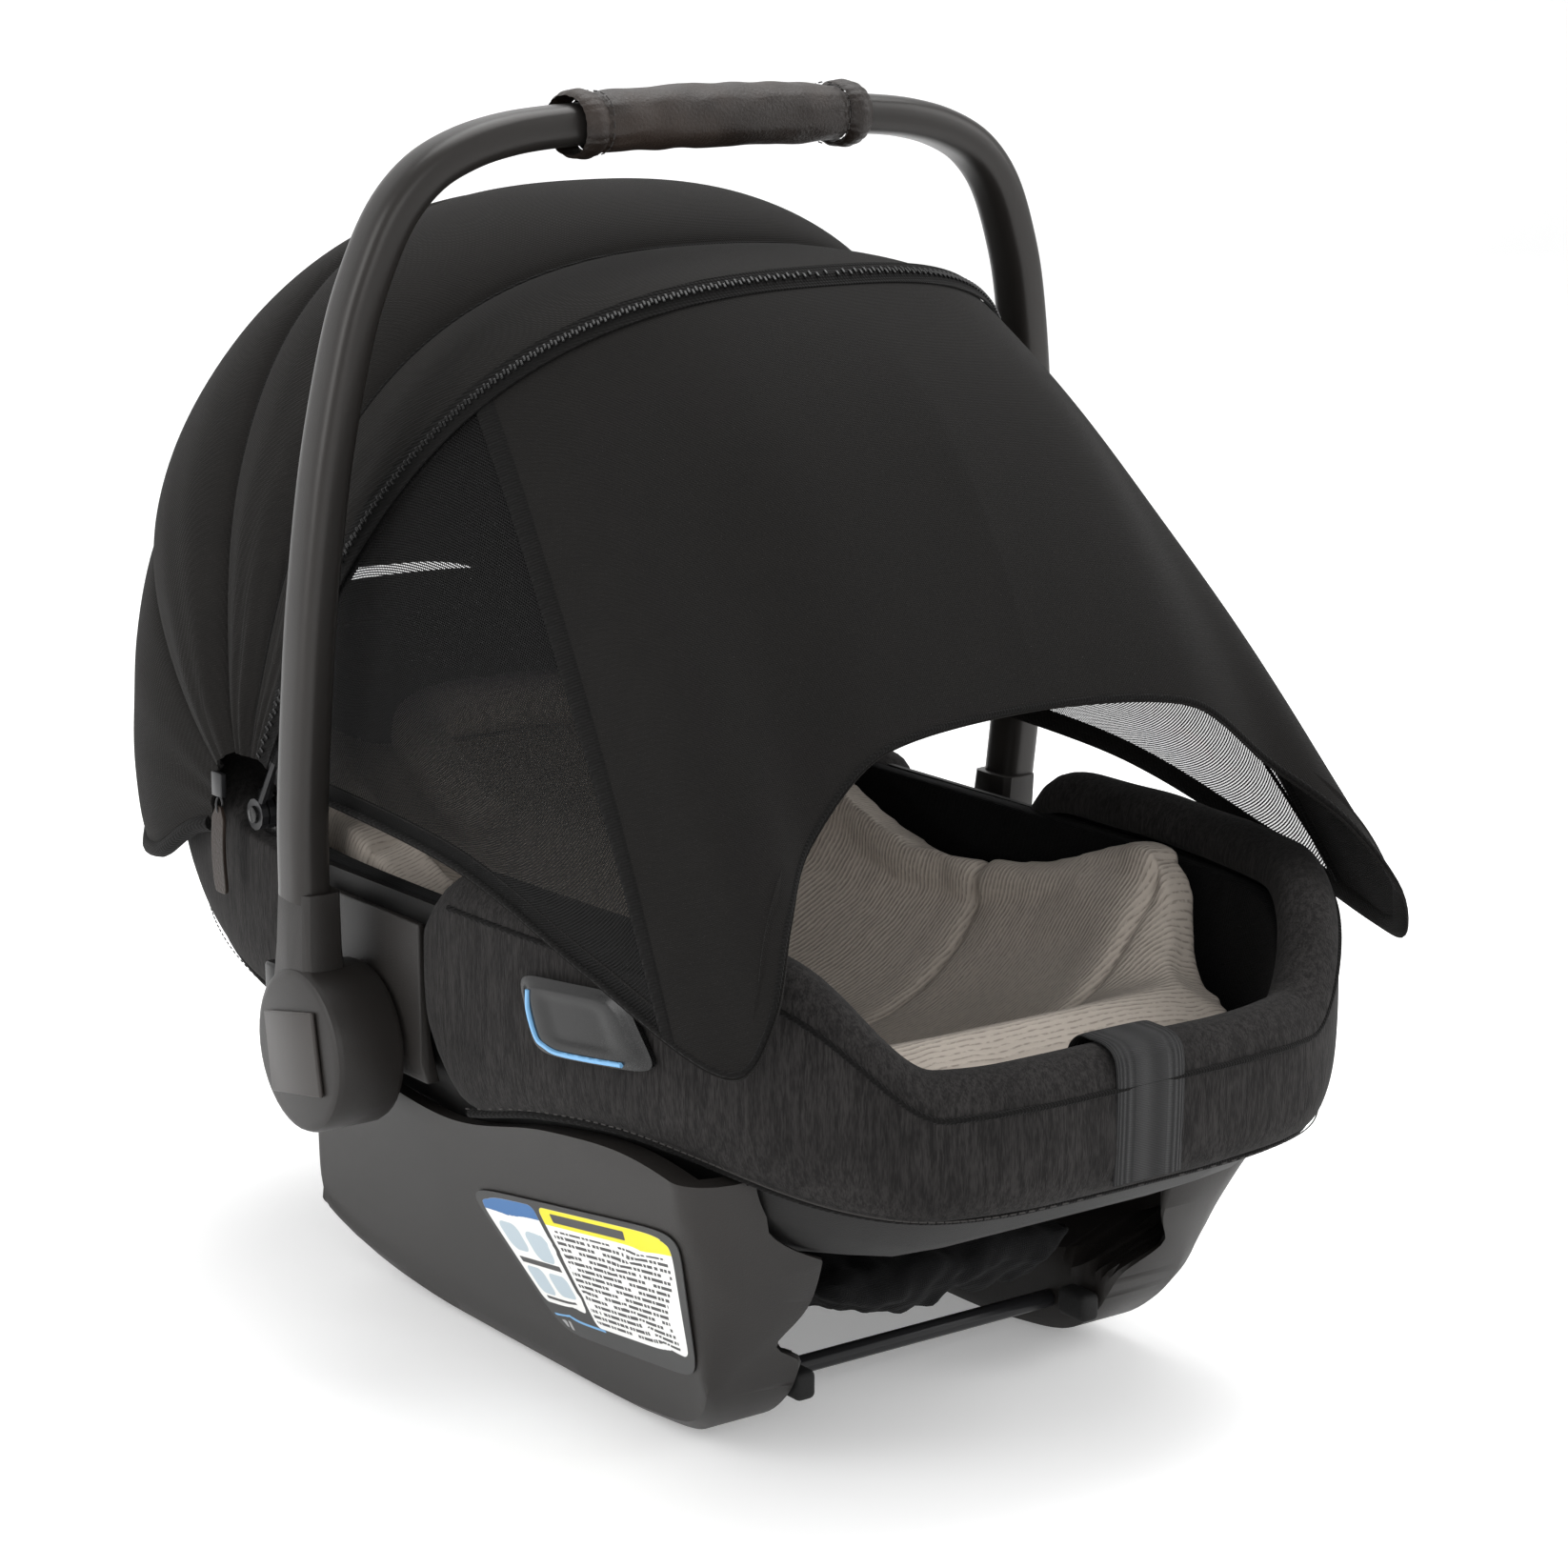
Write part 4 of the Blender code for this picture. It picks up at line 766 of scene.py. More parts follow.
def stitch_line(name, path, normals, body, finish=THREAD, sink=0.0):
    """Short beads of thread along a path, joined as one piece."""
    total = sum((b - a).length for a, b in zip(path, path[1:]))
    count = max(int(total / (STITCH_LENGTH + STITCH_GAP)), 1)
    bpy.ops.object.select_all(action="DESELECT")
    bpy.ops.mesh.primitive_cylinder_add(vertices=5, radius=0.00042, depth=STITCH_LENGTH)
    bead = bpy.context.object
    edit(bead, (bpy.ops.mesh.bevel, {"offset": 0.0002, "segments": 1, "affect": "EDGES"}))
    shape = [v.co.copy() for v in bead.data.vertices]
    faces = [tuple(p.vertices) for p in bead.data.polygons]
    bpy.data.objects.remove(bead)
    points, polygons = [], []
    for k in range(count):
        share = (k + 0.5) / count
        here = pick(path, share)
        along = (pick(path, share + 0.002) - pick(path, share - 0.002)).normalized()
        up = pick(normals, share).normalized()
        side = along.cross(up)
        start = len(points)
        points += [here + up * (co.x + 0.0002 - sink) + side * co.y + along * co.z for co in shape]
        polygons += [tuple(start + i for i in face) for face in faces]
    mesh = bpy.data.meshes.new(name)
    mesh.from_pydata(points, [], polygons)
    item = bpy.data.objects.new(name, mesh)
    bpy.context.scene.collection.objects.link(item)
    edit(item, (bpy.ops.mesh.normals_make_consistent, {"inside": False}))
    item.data.materials.append(finish.material)
    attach(item, body)
    return item


def cover_line(share, out, first, last, rise=0.0, count=160):
    """A line along the cover at a share of the way from hem to rim."""
    path, normals = [], []
    for k in range(count):
        angle = first + (last - first) * (0.012 + 0.976 * k / (count - 1))
        hem = reach_at(angle, between(HEM_KNOTS, rim_point(angle)[1]))
        reach = hem + (1 - hem) * share
        normal = tub_normal(angle, reach)
        path.append(tub_point(angle, reach) + normal * out + Vector((0, 0, rise)))
        normals.append(normal)
    return path, normals


path, normals = cover_line(1.0, 0.0112, *FRONT_COVER, rise=0.0085)
piping = rod("cover_piping_front", path, 0.0014, 8, 220)
piping.data.materials.append(BINDING.material)
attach(piping, "seat")
for end, (first, last) in (("front", FRONT_COVER), ("head", HEAD_COVER)):
    path, normals = cover_line(0.0, 0.0078, first, last)
    hem = rod(f"cover_hem_{end}", path, 0.0021, 8, 200)
    hem.data.materials.append(BINDING.material)
    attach(hem, "seat")
    path, normals = cover_line(0.085, 0.0112, first, last)
    stitch_line(f"cover_stitches_{end}", path, normals, "seat", sink=-0.0003)
print("hems and stitches done")

# %% [markdown]
# ## Rockers
# Each side of the base is one moulding: a thin wall that leans out from a thick skid and carries a
# rolled lip along its lower edge. A section carried from foot to head makes it, finer and softer
# than the frame's own version, and it stands in exactly the same place.

# %% Rockers
ROCKER_KNOTS = [(-0.256, 0.150), (-0.248, 0.123), (-0.235, 0.084), (-0.215, 0.048), (-0.200, 0.024),
                (-0.178, 0.009), (-0.140, 0.0025), (-0.100, 0.0), (0.030, 0.0), (0.092, 0.008),
                (0.122, 0.019), (0.137, 0.030)]
REAR_KNOTS = [(0.060, 0.150), (0.072, 0.1345), (0.090, 0.105), (0.110, 0.075), (0.125, 0.052),
              (0.137, 0.0315)]
SKID_IN, SKID_OUT = 0.089, 0.121
FRONT_IN = 0.100
SIDE_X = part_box("rocker_right")[1].x
HEM_GAP = 0.0075


def rocker_outer(z):
    return SKID_OUT + (SIDE_X - SKID_OUT) * min(max(z, 0.0) / 0.155, 1.0) ** 0.92


def rocker_ring(y, low, top):
    """Section of a rocker on the +X side: up the outside, over the top and down the inside."""
    turn_in = 1 - smooth_step(-0.235, -0.205, y)
    faces = []
    for k in range(15):
        z = low + (top - low) * (k / 14) ** 1.25
        share = 1 - min((z - low) / 0.05, 1.0)
        inset = 0.030 * turn_in * (1 - math.sqrt(1 - share ** 2))
        clear = tub_half_width(y, z) + 0.0018 + 0.003 * turn_in
        lip = 0.0015 * math.exp(-((z - low - 0.007) / 0.006) ** 2) * (1 - turn_in)
        soft = max(1 - (z - low) / 0.006, 0.0) ** 2
        outer = max(rocker_outer(z) - inset, clear + 0.0024) + lip - soft * 0.004
        wall = max(rocker_outer(z) - 0.012, clear)
        skid = 1 - smooth_step(0.045, 0.066, z)
        inner = wall + (SKID_IN - wall) * skid if wall > SKID_IN else wall
        band = (1 - smooth_step(0.024, 0.036, z - low)) * turn_in
        inner += (FRONT_IN - inner) * band
        if z > 0.055:
            inner = max(inner, clear)
        faces.append((outer, min(inner + soft * 0.002, outer - 0.0015), z))
    return [(outer, z) for outer, inner, z in faces] + [(inner, z) for outer, inner, z in faces[::-1]]


def rocker_top(y, low):
    top = between(HEM_KNOTS, y) - HEM_GAP
    if y > REAR_KNOTS[0][0]:
        top = min(top, between(REAR_KNOTS, y))
    return max(top, low + 0.0015)


def build_rocker(name, side, stations=110):
    edge = curve_through([(0, y, z) for y, z in ROCKER_KNOTS], stations + 1)
    rings = []
    for p in edge:
        section = rocker_ring(p.y, max(p.z, 0.0), rocker_top(p.y, p.z))
        rings.append([Vector((side * x, p.y, z)) for x, z in section])
    rocker = wrap_roll(name, 30, stations, lambda u, v: rings[round(v * stations)][round(u * 30) % 30])
    modify(rocker, "BEVEL", width=0.0012, segments=3, limit_method="ANGLE",
           angle_limit=math.radians(50))
    rocker.data.materials.append(SHELL_PLASTIC.material)
    shade(rocker, 35)
    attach(rocker, "seat")
    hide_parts(name.replace("side_wall", "rocker"))
    PIECES[name] = rocker


for name, side in SIDES:
    build_rocker("side_wall_" + name, side)
print("rockers:", len(PIECES["side_wall_left"].data.polygons), "faces each")

# %% [markdown]
# ## Canopy
# The canopy is one run of cloth over four wire bows. Between two bows it bellies out, and at each
# bow it is stitched down into a narrow tuck. Each span between two bows is a sheet of its own,
# and neighbouring sheets share an edge.

# %% Canopy
FABRIC_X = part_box("canopy_panel_middle")[1].x - 0.0035
FABRIC_START = 0.05
BOWS = [(-46.0, -50.0, 0.240, 2.9), (-4.0, -9.0, 0.284, 2.7), (22.0, 15.0, 0.286, 2.7),
        (38.0, 31.0, 0.328, 2.7)]  # lean at the top and the sides, height, squareness


def bow_point(bow, turn, grow=0.0038):
    lean_top, lean_side, height, power = bow
    swing = math.sin(turn)
    x = -rounded(math.cos(turn), power) * FABRIC_X
    reach = swing ** (2 / power) * (height + grow)
    lean = math.radians(lean_side + (lean_top - lean_side) * swing ** 2)
    return Vector((x, CANOPY_PIN.y - reach * math.sin(lean), CANOPY_PIN.z + reach * math.cos(lean)))


def rear_edge(turn):
    """Lower edge of the canopy, round the head end."""
    swing = math.sin(turn)
    x = -rounded(math.cos(turn), 2.7) * (HALF_WIDTH + 0.010)
    y = 0.120 + (HEAD - 0.114) * swing ** (2 / 2.7)
    return Vector((x, y, between([(0.0, 0.236), (0.35, 0.205), (0.70, 0.212), (1.0, 0.318)], swing)))


def span_point(first, second, bulge, u, v):
    """Point of the cloth between two edges; u runs from side to side, v from edge to edge."""
    turn = FABRIC_START + (math.pi - 2 * FABRIC_START) * u
    a, b = first(turn), second(turn)
    point = a.lerp(b, v)
    out = (point - CANOPY_PIN).normalized()
    swing = math.sin(turn)
    belly = bulge * (4 * v * (1 - v)) ** 0.72 * swing ** 0.5
    folds = crumple(point, 13, 0.0035, 3.0) * (4 * v * (1 - v)) ** 0.6 * (0.35 + 0.65 * (1 - swing))
    gather = math.sin(v * 20 + u * 3) * 0.0006 * (1 - swing) ** 1.5 * 4 * v * (1 - v)
    return point + out * (belly + folds + gather)


def sheet_area(item):
    return sum(face.area for face in item.data.polygons)


EDGES = [rear_edge] + [lambda turn, bow=bow: bow_point(bow, turn) for bow in BOWS]
SPANS = [("rear", "seat", "canopy_rear", 0.017), ("middle", "canopy_rear", "canopy_middle", 0.023),
         ("crown", "canopy_middle", "canopy_crown", 0.014),
         ("front", "canopy_crown", "canopy_front", 0.004)]


def build_span(name, first, second, bulge):
    cloth = lay_sheet(f"canopy_cloth_{name}", 150, 34,
                      lambda u, v: span_point(first, second, bulge, u, v))
    area = sheet_area(cloth)
    length = area / 0.62
    thicken(cloth, 0.0016)
    cloth.data.materials.append(CANOPY_CLOTH.material)
    shade(cloth, 60)
    return cloth, area, length


for (name, before, after, bulge), first, second in zip(SPANS, EDGES, EDGES[1:]):
    cloth, area, length = build_span(name, first, second, bulge)
    start, end = first(math.pi / 2), second(math.pi / 2)
    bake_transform(cloth)
    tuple(start)
    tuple(end)
    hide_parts(f"canopy_panel_{name}")
    print(cloth.name, "area", round(area, 4), "m2, flat 0.62 x", round(length, 3), "m")

# %% [markdown]
# ### Seams, rear binding and zip
# Where the cloth is stitched to a bow, two fabrics and a tape lie together in a narrow ridge. The
# rear edge is rolled round an elastic, and a zip joins the canopy to the front drape: two tapes and
# one row of small teeth.

# %% Seams, rear binding and zip
def edge_line(edge, count, lift=0.0, shift=0.0, margin=0.0):
    points = []
    for k in range(count):
        turn = FABRIC_START + margin + (math.pi - 2 * FABRIC_START - 2 * margin) * k / (count - 1)
        point = edge(turn)
        out = (point - CANOPY_PIN).normalized()
        points.append(point + out * lift + Vector((0, shift, 0)))
    return points


for name, edge, body, radius in (("rear", EDGES[1], "canopy_rear", 0.0016),
                                 ("middle", EDGES[2], "canopy_middle", 0.0018),
                                 ("crown", EDGES[3], "canopy_crown", 0.0015)):
    seam = rod(f"canopy_seam_{name}", edge_line(edge, 60, 0.0004), radius, 8, 150)
    seam.data.materials.append(BINDING.material)
    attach(seam, body)
rolled = rod("canopy_rear_roll", edge_line(rear_edge, 70, 0.0015), 0.0042, 12, 170)
rolled.data.materials.append(BINDING.material)
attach(rolled, "seat")


def zip_frame(count=220):
    """Points along the front bow, the way out of the cloth and the way across the zip."""
    points = edge_line(EDGES[4], count, 0.0008, -0.0010)
    outs = [(p - CANOPY_PIN).normalized() for p in points]
    across = []
    for k, point in enumerate(points):
        along = (points[min(k + 1, count - 1)] - points[max(k - 1, 0)]).normalized()
        across.append(along.cross(outs[k]).normalized())
    return points, outs, across


ZIP_POINTS, ZIP_OUT, ZIP_ACROSS = zip_frame()
TAPE_HALF_WIDTH = 0.0065


def tape_place(u, v):
    point = pick(ZIP_POINTS, v)
    out, across = pick(ZIP_OUT, v), pick(ZIP_ACROSS, v)
    swell = 0.0009 * math.exp(-((u - 0.5) / 0.16) ** 2)
    return point + across * (u - 0.5) * 2 * TAPE_HALF_WIDTH + out * (0.0012 + swell)


tape = thicken(lay_sheet("zip_tape", 10, 219, tape_place), 0.0009)
tape.data.materials.append(BINDING.material)
shade(tape, 60)
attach(tape, "canopy_front")


def build_teeth(pitch=0.0023):
    bpy.ops.object.select_all(action="DESELECT")
    bpy.ops.mesh.primitive_cube_add(size=1)
    tooth = bpy.context.object
    edit(tooth, (bpy.ops.mesh.bevel, {"offset": 0.18, "segments": 1, "affect": "EDGES"}))
    shape = [v.co.copy() for v in tooth.data.vertices]
    faces = [tuple(p.vertices) for p in tooth.data.polygons]
    bpy.data.objects.remove(tooth)
    total = sum((b - a).length for a, b in zip(ZIP_POINTS, ZIP_POINTS[1:]))
    points, polygons = [], []
    for k in range(int(total / pitch)):
        share = (k + 0.5) * pitch / total
        here = pick(ZIP_POINTS, share)
        out, across = pick(ZIP_OUT, share).normalized(), pick(ZIP_ACROSS, share).normalized()
        along = across.cross(out)
        side = 0.0006 if k % 2 else -0.0006
        here = here + out * 0.0029 + across * side
        start = len(points)
        points += [here + across * co.x * 0.0030 + out * co.y * 0.0011 + along * co.z * 0.0013
                   for co in shape]
        polygons += [tuple(start + i for i in face) for face in faces]
    mesh = bpy.data.meshes.new("zip_teeth")
    mesh.from_pydata(points, [], polygons)
    teeth = bpy.data.objects.new("zip_teeth", mesh)
    bpy.context.scene.collection.objects.link(teeth)
    edit(teeth, (bpy.ops.mesh.normals_make_consistent, {"inside": False}))
    teeth.data.materials.append(GLOSS_TRIM.material)
    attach(teeth, "canopy_front")
    return teeth


teeth = build_teeth()
print("zip teeth:", len(teeth.data.polygons), "faces")

# %% [markdown]
# ## Front drape
# The drape hangs from the zip to the foot end: a firm middle panel and a sun-shade mesh at each
# side. All three are cut from one curved surface along two slanting seams, so they meet edge to
# edge. Its lower edge leaves an arch open over the child's legs.

# %% Front drape
DRAPE_EDGE = [(0.0, 1.0, 0.1175, 0.270), (0.14, 1.005, 0.4465, 0.262), (0.28, 1.008, 0.705, 0.237),
              (0.40, 0.992, 0.881, 0.217), (0.46, 0.961, 0.940, 0.217), (0.52, 0.909, 0.954, 0.240),
              (0.60, 0.809, 0.9165, 0.272), (0.70, 0.668, 0.865, 0.298), (0.82, 0.444, 0.851, 0.330),
              (1.0, 0.0, 0.846, 0.338)]


def drape_edge(share):
    across, along, z = (between([(knot[0], knot[k]) for knot in DRAPE_EDGE], share) for k in (1, 2, 3))
    return Vector((-across * FABRIC_X, CANOPY_PIN.y - along * (CANOPY_PIN.y + FOOT), z))


def drape_point(share, t):
    """share runs 0 at the -X side, 1 in the middle and 2 at the +X side; t from zip to hem."""
    half = min(share, 2 - share)
    turn = FABRIC_START + (math.pi / 2 - FABRIC_START) * half
    top = bow_point(BOWS[-1], turn) + Vector((0, -0.004, -0.002))
    point = top.lerp(drape_edge(half), t)
    billow = 0.018 * 4 * t * (1 - t) * half
    point += Vector((0, -1, 1)) * billow
    soft = crumple(point, 9, 0.0032, 8.0) * 4 * t * (1 - t)
    point += Vector((-0.3, -0.8, 0.5)) * soft
    if share > 1:
        point.x = -point.x
    return point


SEAM_TOP, SEAM_LOW = 0.50, 0.375


def seam_share(t):
    """Where the mesh meets the middle panel."""
    return SEAM_TOP + (SEAM_LOW - SEAM_TOP) * t ** 0.9


def middle_place(u, v):
    near = seam_share(v)
    return drape_point(near + (2 - 2 * near) * u, v)


def near_mesh_place(u, v):
    return drape_point(0.004 + (seam_share(v) - 0.004) * u, v)


def far_mesh_place(u, v):
    return drape_point(2 - seam_share(v) + (seam_share(v) - 0.004) * u, v)


MESH_SHADE = open_mesh("shade_mesh", 0.20, 0.27)
for name, place, finish, columns, flat in (
        ("drape_middle", middle_place, DRAPE_CLOTH, 120, 0.36),
        ("drape_mesh_left", near_mesh_place, MESH_SHADE, 40, 0.20),
        ("drape_mesh_right", far_mesh_place, MESH_SHADE, 40, 0.20)):
    cloth = lay_sheet(name, columns, 60, place)
    area = sheet_area(cloth)
    if name == "drape_middle":
        thicken(cloth, 0.0015)
    cloth.data.materials.append(finish.material)
    shade(cloth, 60)
    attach(cloth, "canopy_front")
    if name == "drape_middle":
        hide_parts("drape")
    print(name, "flat", flat, "x", round(area / flat, 3), "m")


def band_along(name, line, across, width, finish, lift=0.0012, count=180, thickness=0.0011):
    """A flat tape sewn over an edge: line and across are points and directions on the cloth."""
    def place(u, v):
        point, side = pick(line, v), pick(across, v).normalized()
        along = (pick(line, v + 0.004) - pick(line, v - 0.004)).normalized()
        out = side.cross(along).normalized()
        return point + side * (u - 0.18) * width + out * (lift - 0.0006 * abs(2 * u - 1) ** 3)
    band = thicken(lay_sheet(name, 8, count, place), thickness)
    band.data.materials.append(finish.material)
    shade(band, 60)
    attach(band, "canopy_front")
    return band


def drape_line(shares_and_t):
    return [drape_point(share, t) for share, t in shares_and_t]


HEM_COUNT = 240
HEM_SHARES = [0.004 + (2 - 0.008) * k / HEM_COUNT for k in range(HEM_COUNT + 1)]
hem_line = drape_line([(s, 1.0) for s in HEM_SHARES])
hem_up = [drape_point(s, 0.93) - drape_point(s, 1.0) for s in HEM_SHARES]
HEM_WIDTH = 0.0105
hem_sides = []
for k, up in enumerate(hem_up):
    along = (hem_line[min(k + 1, HEM_COUNT)] - hem_line[max(k - 1, 0)]).normalized()
    hem_sides.append((up - along * up.dot(along)).normalized())
band_along("drape_hem", hem_line, hem_sides, HEM_WIDTH, DRAPE_CLOTH, 0.0010, HEM_COUNT)
edge_roll = rod("drape_edge_roll", [p + s * 0.0004 for p, s in zip(hem_line, hem_sides)][::2], 0.0014, 8, 240)
edge_roll.data.materials.append(BINDING.material)
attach(edge_roll, "canopy_front")
for name, mirror in (("left", False), ("right", True)):
    shares = [(2 - seam_share(t / 60) if mirror else seam_share(t / 60), t / 60) for t in range(61)]
    seam = drape_line(shares)
    ridge = rod(f"drape_seam_{name}", seam[1:-1], 0.0013, 8, 120)
    ridge.data.materials.append(BINDING.material)
    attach(ridge, "canopy_front")
    toward = [drape_point(share + (0.03 if mirror else -0.03), t) - drape_point(share, t)
              for share, t in shares]
    band_along(f"drape_tape_{name}", seam, toward, 0.010, BINDING, 0.0008 if mirror else 0.0008, 90)
print("drape trims done")

# %% [markdown]
# ## Carry handle
# The handle is a flattened aluminium tube bent into one bow. An oval section carried along its
# centre line makes it. The grip is a leather sleeve, sewn along its underside, with a rolled cuff
# at each end.

# %% Carry handle
HUB_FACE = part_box("hub_plate_right")[1].x
LEG = [(0.0125, 0.2280), (0.0110, 0.2700), (0.0120, 0.3250), (0.0140, 0.3700), (0.0195, 0.4300),
       (0.0290, 0.4840), (0.0385, 0.5150), (0.0505, 0.5400), (0.0665, 0.5570), (0.0865, 0.5670),
       (0.1085, 0.5725), (0.1315, 0.5750)]  # distance in from the hub's face, height
TOP_HEIGHT = 0.5775
TUBE_WIDTH, TUBE_DEPTH = 0.026, 0.019
GRIP_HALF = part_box("handle_grip")[1].x


def handle_y(z):
    return HUB.y + 0.006 - (z - 0.230) * 0.0909


def handle_line():
    half = [Vector((inset - HUB_FACE, handle_y(z), z)) for inset, z in LEG]
    middle = [Vector((x, handle_y(TOP_HEIGHT), TOP_HEIGHT - 0.0025 * (x / 0.09) ** 2))
              for x in (-0.06, -0.03, 0, 0.03, 0.06)]
    return curve_through(half + middle + [Vector((-p.x, p.y, p.z)) for p in reversed(half)], 241)


def sleeve_along(name, path, section, around, low=0.0, high=1.0, steps=60):
    """A section (a across the handle, b off it) carried along part of a path."""
    def place(u, v):
        share = low + (high - low) * v
        here = pick(path, share)
        along = (pick(path, share + 0.004) - pick(path, share - 0.004)).normalized()
        across = Vector((0, 1, 0))
        across = (across - along * across.dot(along)).normalized()
        a, b = section(2 * math.pi * u, v)
        return here + across * a + along.cross(across) * b
    return wrap_roll(name, around, steps, place)


def oval(turn, width, depth, power):
    return rounded(math.cos(turn), power) * width / 2, rounded(math.sin(turn), power) * depth / 2


HANDLE_PATH = handle_line()
tube = sleeve_along("handle_bow", HANDLE_PATH, lambda turn, v: oval(turn, TUBE_WIDTH, TUBE_DEPTH, 3.1),
                    40, steps=240)
tube.data.materials.append(HANDLE_METAL.material)
shade(tube, 50)
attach(tube, "handle")
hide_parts("handle_tube")
TOP_PATH = [Vector((x, handle_y(TOP_HEIGHT), TOP_HEIGHT - 0.0025 * (x / 0.09) ** 2))
            for x in [-0.09 + 0.18 * k / 60 for k in range(61)]]


def top_share(x):
    return (x + 0.09) / 0.18


def grip_section(turn, v):
    """Leather drawn round the tube: a hand's swell in the middle, puckers at the two ends."""
    end = min(v, 1 - v)
    swell = 0.0042 + 0.0010 * math.sin(math.pi * v) - 0.0012 * math.exp(-end / 0.02)
    pucker = math.sin(turn * 13 + v * 9) * 0.00028 * math.exp(-end / 0.09)
    seam = -0.0012 * math.exp(-((turn / math.pi - 1.5) / 0.025) ** 2)
    slack = crumple((v * 6, math.cos(turn), math.sin(turn)), 1.6, 0.0008)
    a, b = oval(turn, TUBE_WIDTH, TUBE_DEPTH, 2.5)
    grow = swell + pucker + seam + slack
    reach = math.hypot(a, b)
    return a * (1 + grow / reach), b * (1 + grow / reach)


grip = sleeve_along("leather_grip", TOP_PATH, grip_section, 96, top_share(-GRIP_HALF - 0.0004),
                    top_share(GRIP_HALF + 0.0004), 110)
grip.data.materials.append(GRIP_LEATHER.material)
shade(grip, 60)
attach(grip, "handle")
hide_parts("handle_grip")


def cuff_section(turn, v):
    fat = 0.0030 + 0.0034 * math.sin(math.pi * min(max(v, 0.02), 0.98)) ** 0.45
    a, b = oval(turn, TUBE_WIDTH, TUBE_DEPTH, 2.5)
    fat += math.sin(turn * 21) * 0.00022
    reach = math.hypot(a, b)
    return a * (1 + fat / reach), b * (1 + fat / reach)


for name, side in SIDES:
    ends = sorted((side * (GRIP_HALF - 0.0006), side * (GRIP_HALF + 0.0122)))
    cuff = sleeve_along(f"leather_cuff_{name}", TOP_PATH, cuff_section, 80, top_share(ends[0]),
                        top_share(ends[1]), 22)
    cuff.data.materials.append(GRIP_LEATHER.material)
    shade(cuff, 60)
    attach(cuff, "handle")
    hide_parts(f"grip_cuff_{name}")
    inner = side * (GRIP_HALF - 0.0022)
    path, normals = [], []
    for k in range(61):
        turn = 2 * math.pi * k / 60
        a, b = oval(turn, TUBE_WIDTH + 0.0094, TUBE_DEPTH + 0.0094, 2.5)
        here = pick(TOP_PATH, top_share(inner))
        path.append(here + Vector((0, a, -b)))
        normals.append(Vector((0, a, -b)).normalized())
    stitches = stitch_line(f"cuff_stitches_{name}", path, normals, "handle")
print("handle, grip and cuffs:", len(tube.data.polygons), len(grip.data.polygons))

# %% [markdown]
# ## Rigid parts from the frame
# The frame's small rigid parts have the right shape and hard, bare edges. A copy of each gets its
# triangles merged into flat faces and a fine bevel on every sharp edge, because a real moulding or
# casting always catches light along its edges. The copy then stands for the part.

# %% Rigid parts from the frame
def refine(node, finish, bevel=0.0006, segments=2, flat=4.0, sharp=30):
    """A merged and bevelled copy of one CAD node, standing for it."""
    source = frame["nodes"][node]
    item = bpy.data.objects.new("fine_" + node, source.data.copy())
    bpy.context.scene.collection.objects.link(item)
    edit(item, (bpy.ops.mesh.remove_doubles, {"threshold": 0.00001}),
         (bpy.ops.mesh.dissolve_limited, {"angle_limit": math.radians(flat)}))
    if bevel:
        modify(item, "BEVEL", width=bevel, segments=segments, limit_method="ANGLE",
               angle_limit=math.radians(sharp))
    item.data.materials.clear()
    item.data.materials.append(finish.material)
    shade(item, 32)
    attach(item, source["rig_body"])
    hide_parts(node)
    return item


RIGID = [("handle_button", GLOSS_TRIM, 0.0006), ("pivot_boss", DARK_STEEL, 0.0005),
         ("lock_ring", DARK_STEEL, 0.0003), ("bumper", RUBBER, 0.0008),
         ("canopy_mount", GLOSS_TRIM, 0.0004), ("lever_bracket", SHELL_PLASTIC, 0.0004),
         ("hub_plate", PLATE_TRIM, 0.0004), ("hub", HUB_PLASTIC, 0.0008),
         ("hub_mount", SHELL_PLASTIC, 0.0010)]
for part, finish, bevel in RIGID:
    for name, side in SIDES:
        refine(f"{part}_{name}", finish, bevel)
for part, finish, bevel in (("latch_bar_front", DARK_STEEL, 0.0006), ("latch_bar_rear", DARK_STEEL, 0.0006),
                            ("base_release_lever", GLOSS_TRIM, 0.0008), ("buckle_body", GLOSS_TRIM, 0.0010),
                            ("buckle_button", RELEASE_RED, 0.0008), ("zip_slider", DARK_STEEL, 0.0003),
                            ("shell", TUB_PLASTIC, 0)):
    refine(part, finish, bevel)
for node in ("lock_spring_left", "lock_spring_right"):
    frame["nodes"][node].data.materials.clear()
    frame["nodes"][node].data.materials.append(SPRING_STEEL.material)
for name in ("rear", "middle", "crown", "front"):
    wire = frame["nodes"]["canopy_bow_" + name]
    wire.data.materials.clear()
    wire.data.materials.append(DARK_STEEL.material)
print("refined", len(RIGID) * 2 + 7, "rigid parts")

# %% [markdown]
# ## Plates on the sides
# The belt guides and the printed labels follow the curved walls. The guide is a domed plate with a
# rolled edge and one bright line along its lower corner. The label is a black sticker whose print
# is generic: two ruled panels with a colour header, a few blocks where pictures would be, and no
# lettering at all.

# %% Plates on the sides
def on_cover(side, y, z, out):
    """A point outside the covered wall, square to it."""
    step = 0.004
    along = (tub_half_width(y + step, z) - tub_half_width(y - step, z)) / (2 * step)
    up = (tub_half_width(y, z + step) - tub_half_width(y, z - step)) / (2 * step)
    normal = Vector((1, -along, -up)).normalized()
    point = Vector((tub_half_width(y, z), y, z)) + normal * (0.0113 + out)
    return Vector((side * point.x, point.y, point.z))


def corner_blend(corners, u, v):
    top = Vector(corners[0]).lerp(Vector(corners[1]), u)
    low = Vector(corners[3]).lerp(Vector(corners[2]), u)
    return low.lerp(top, v)


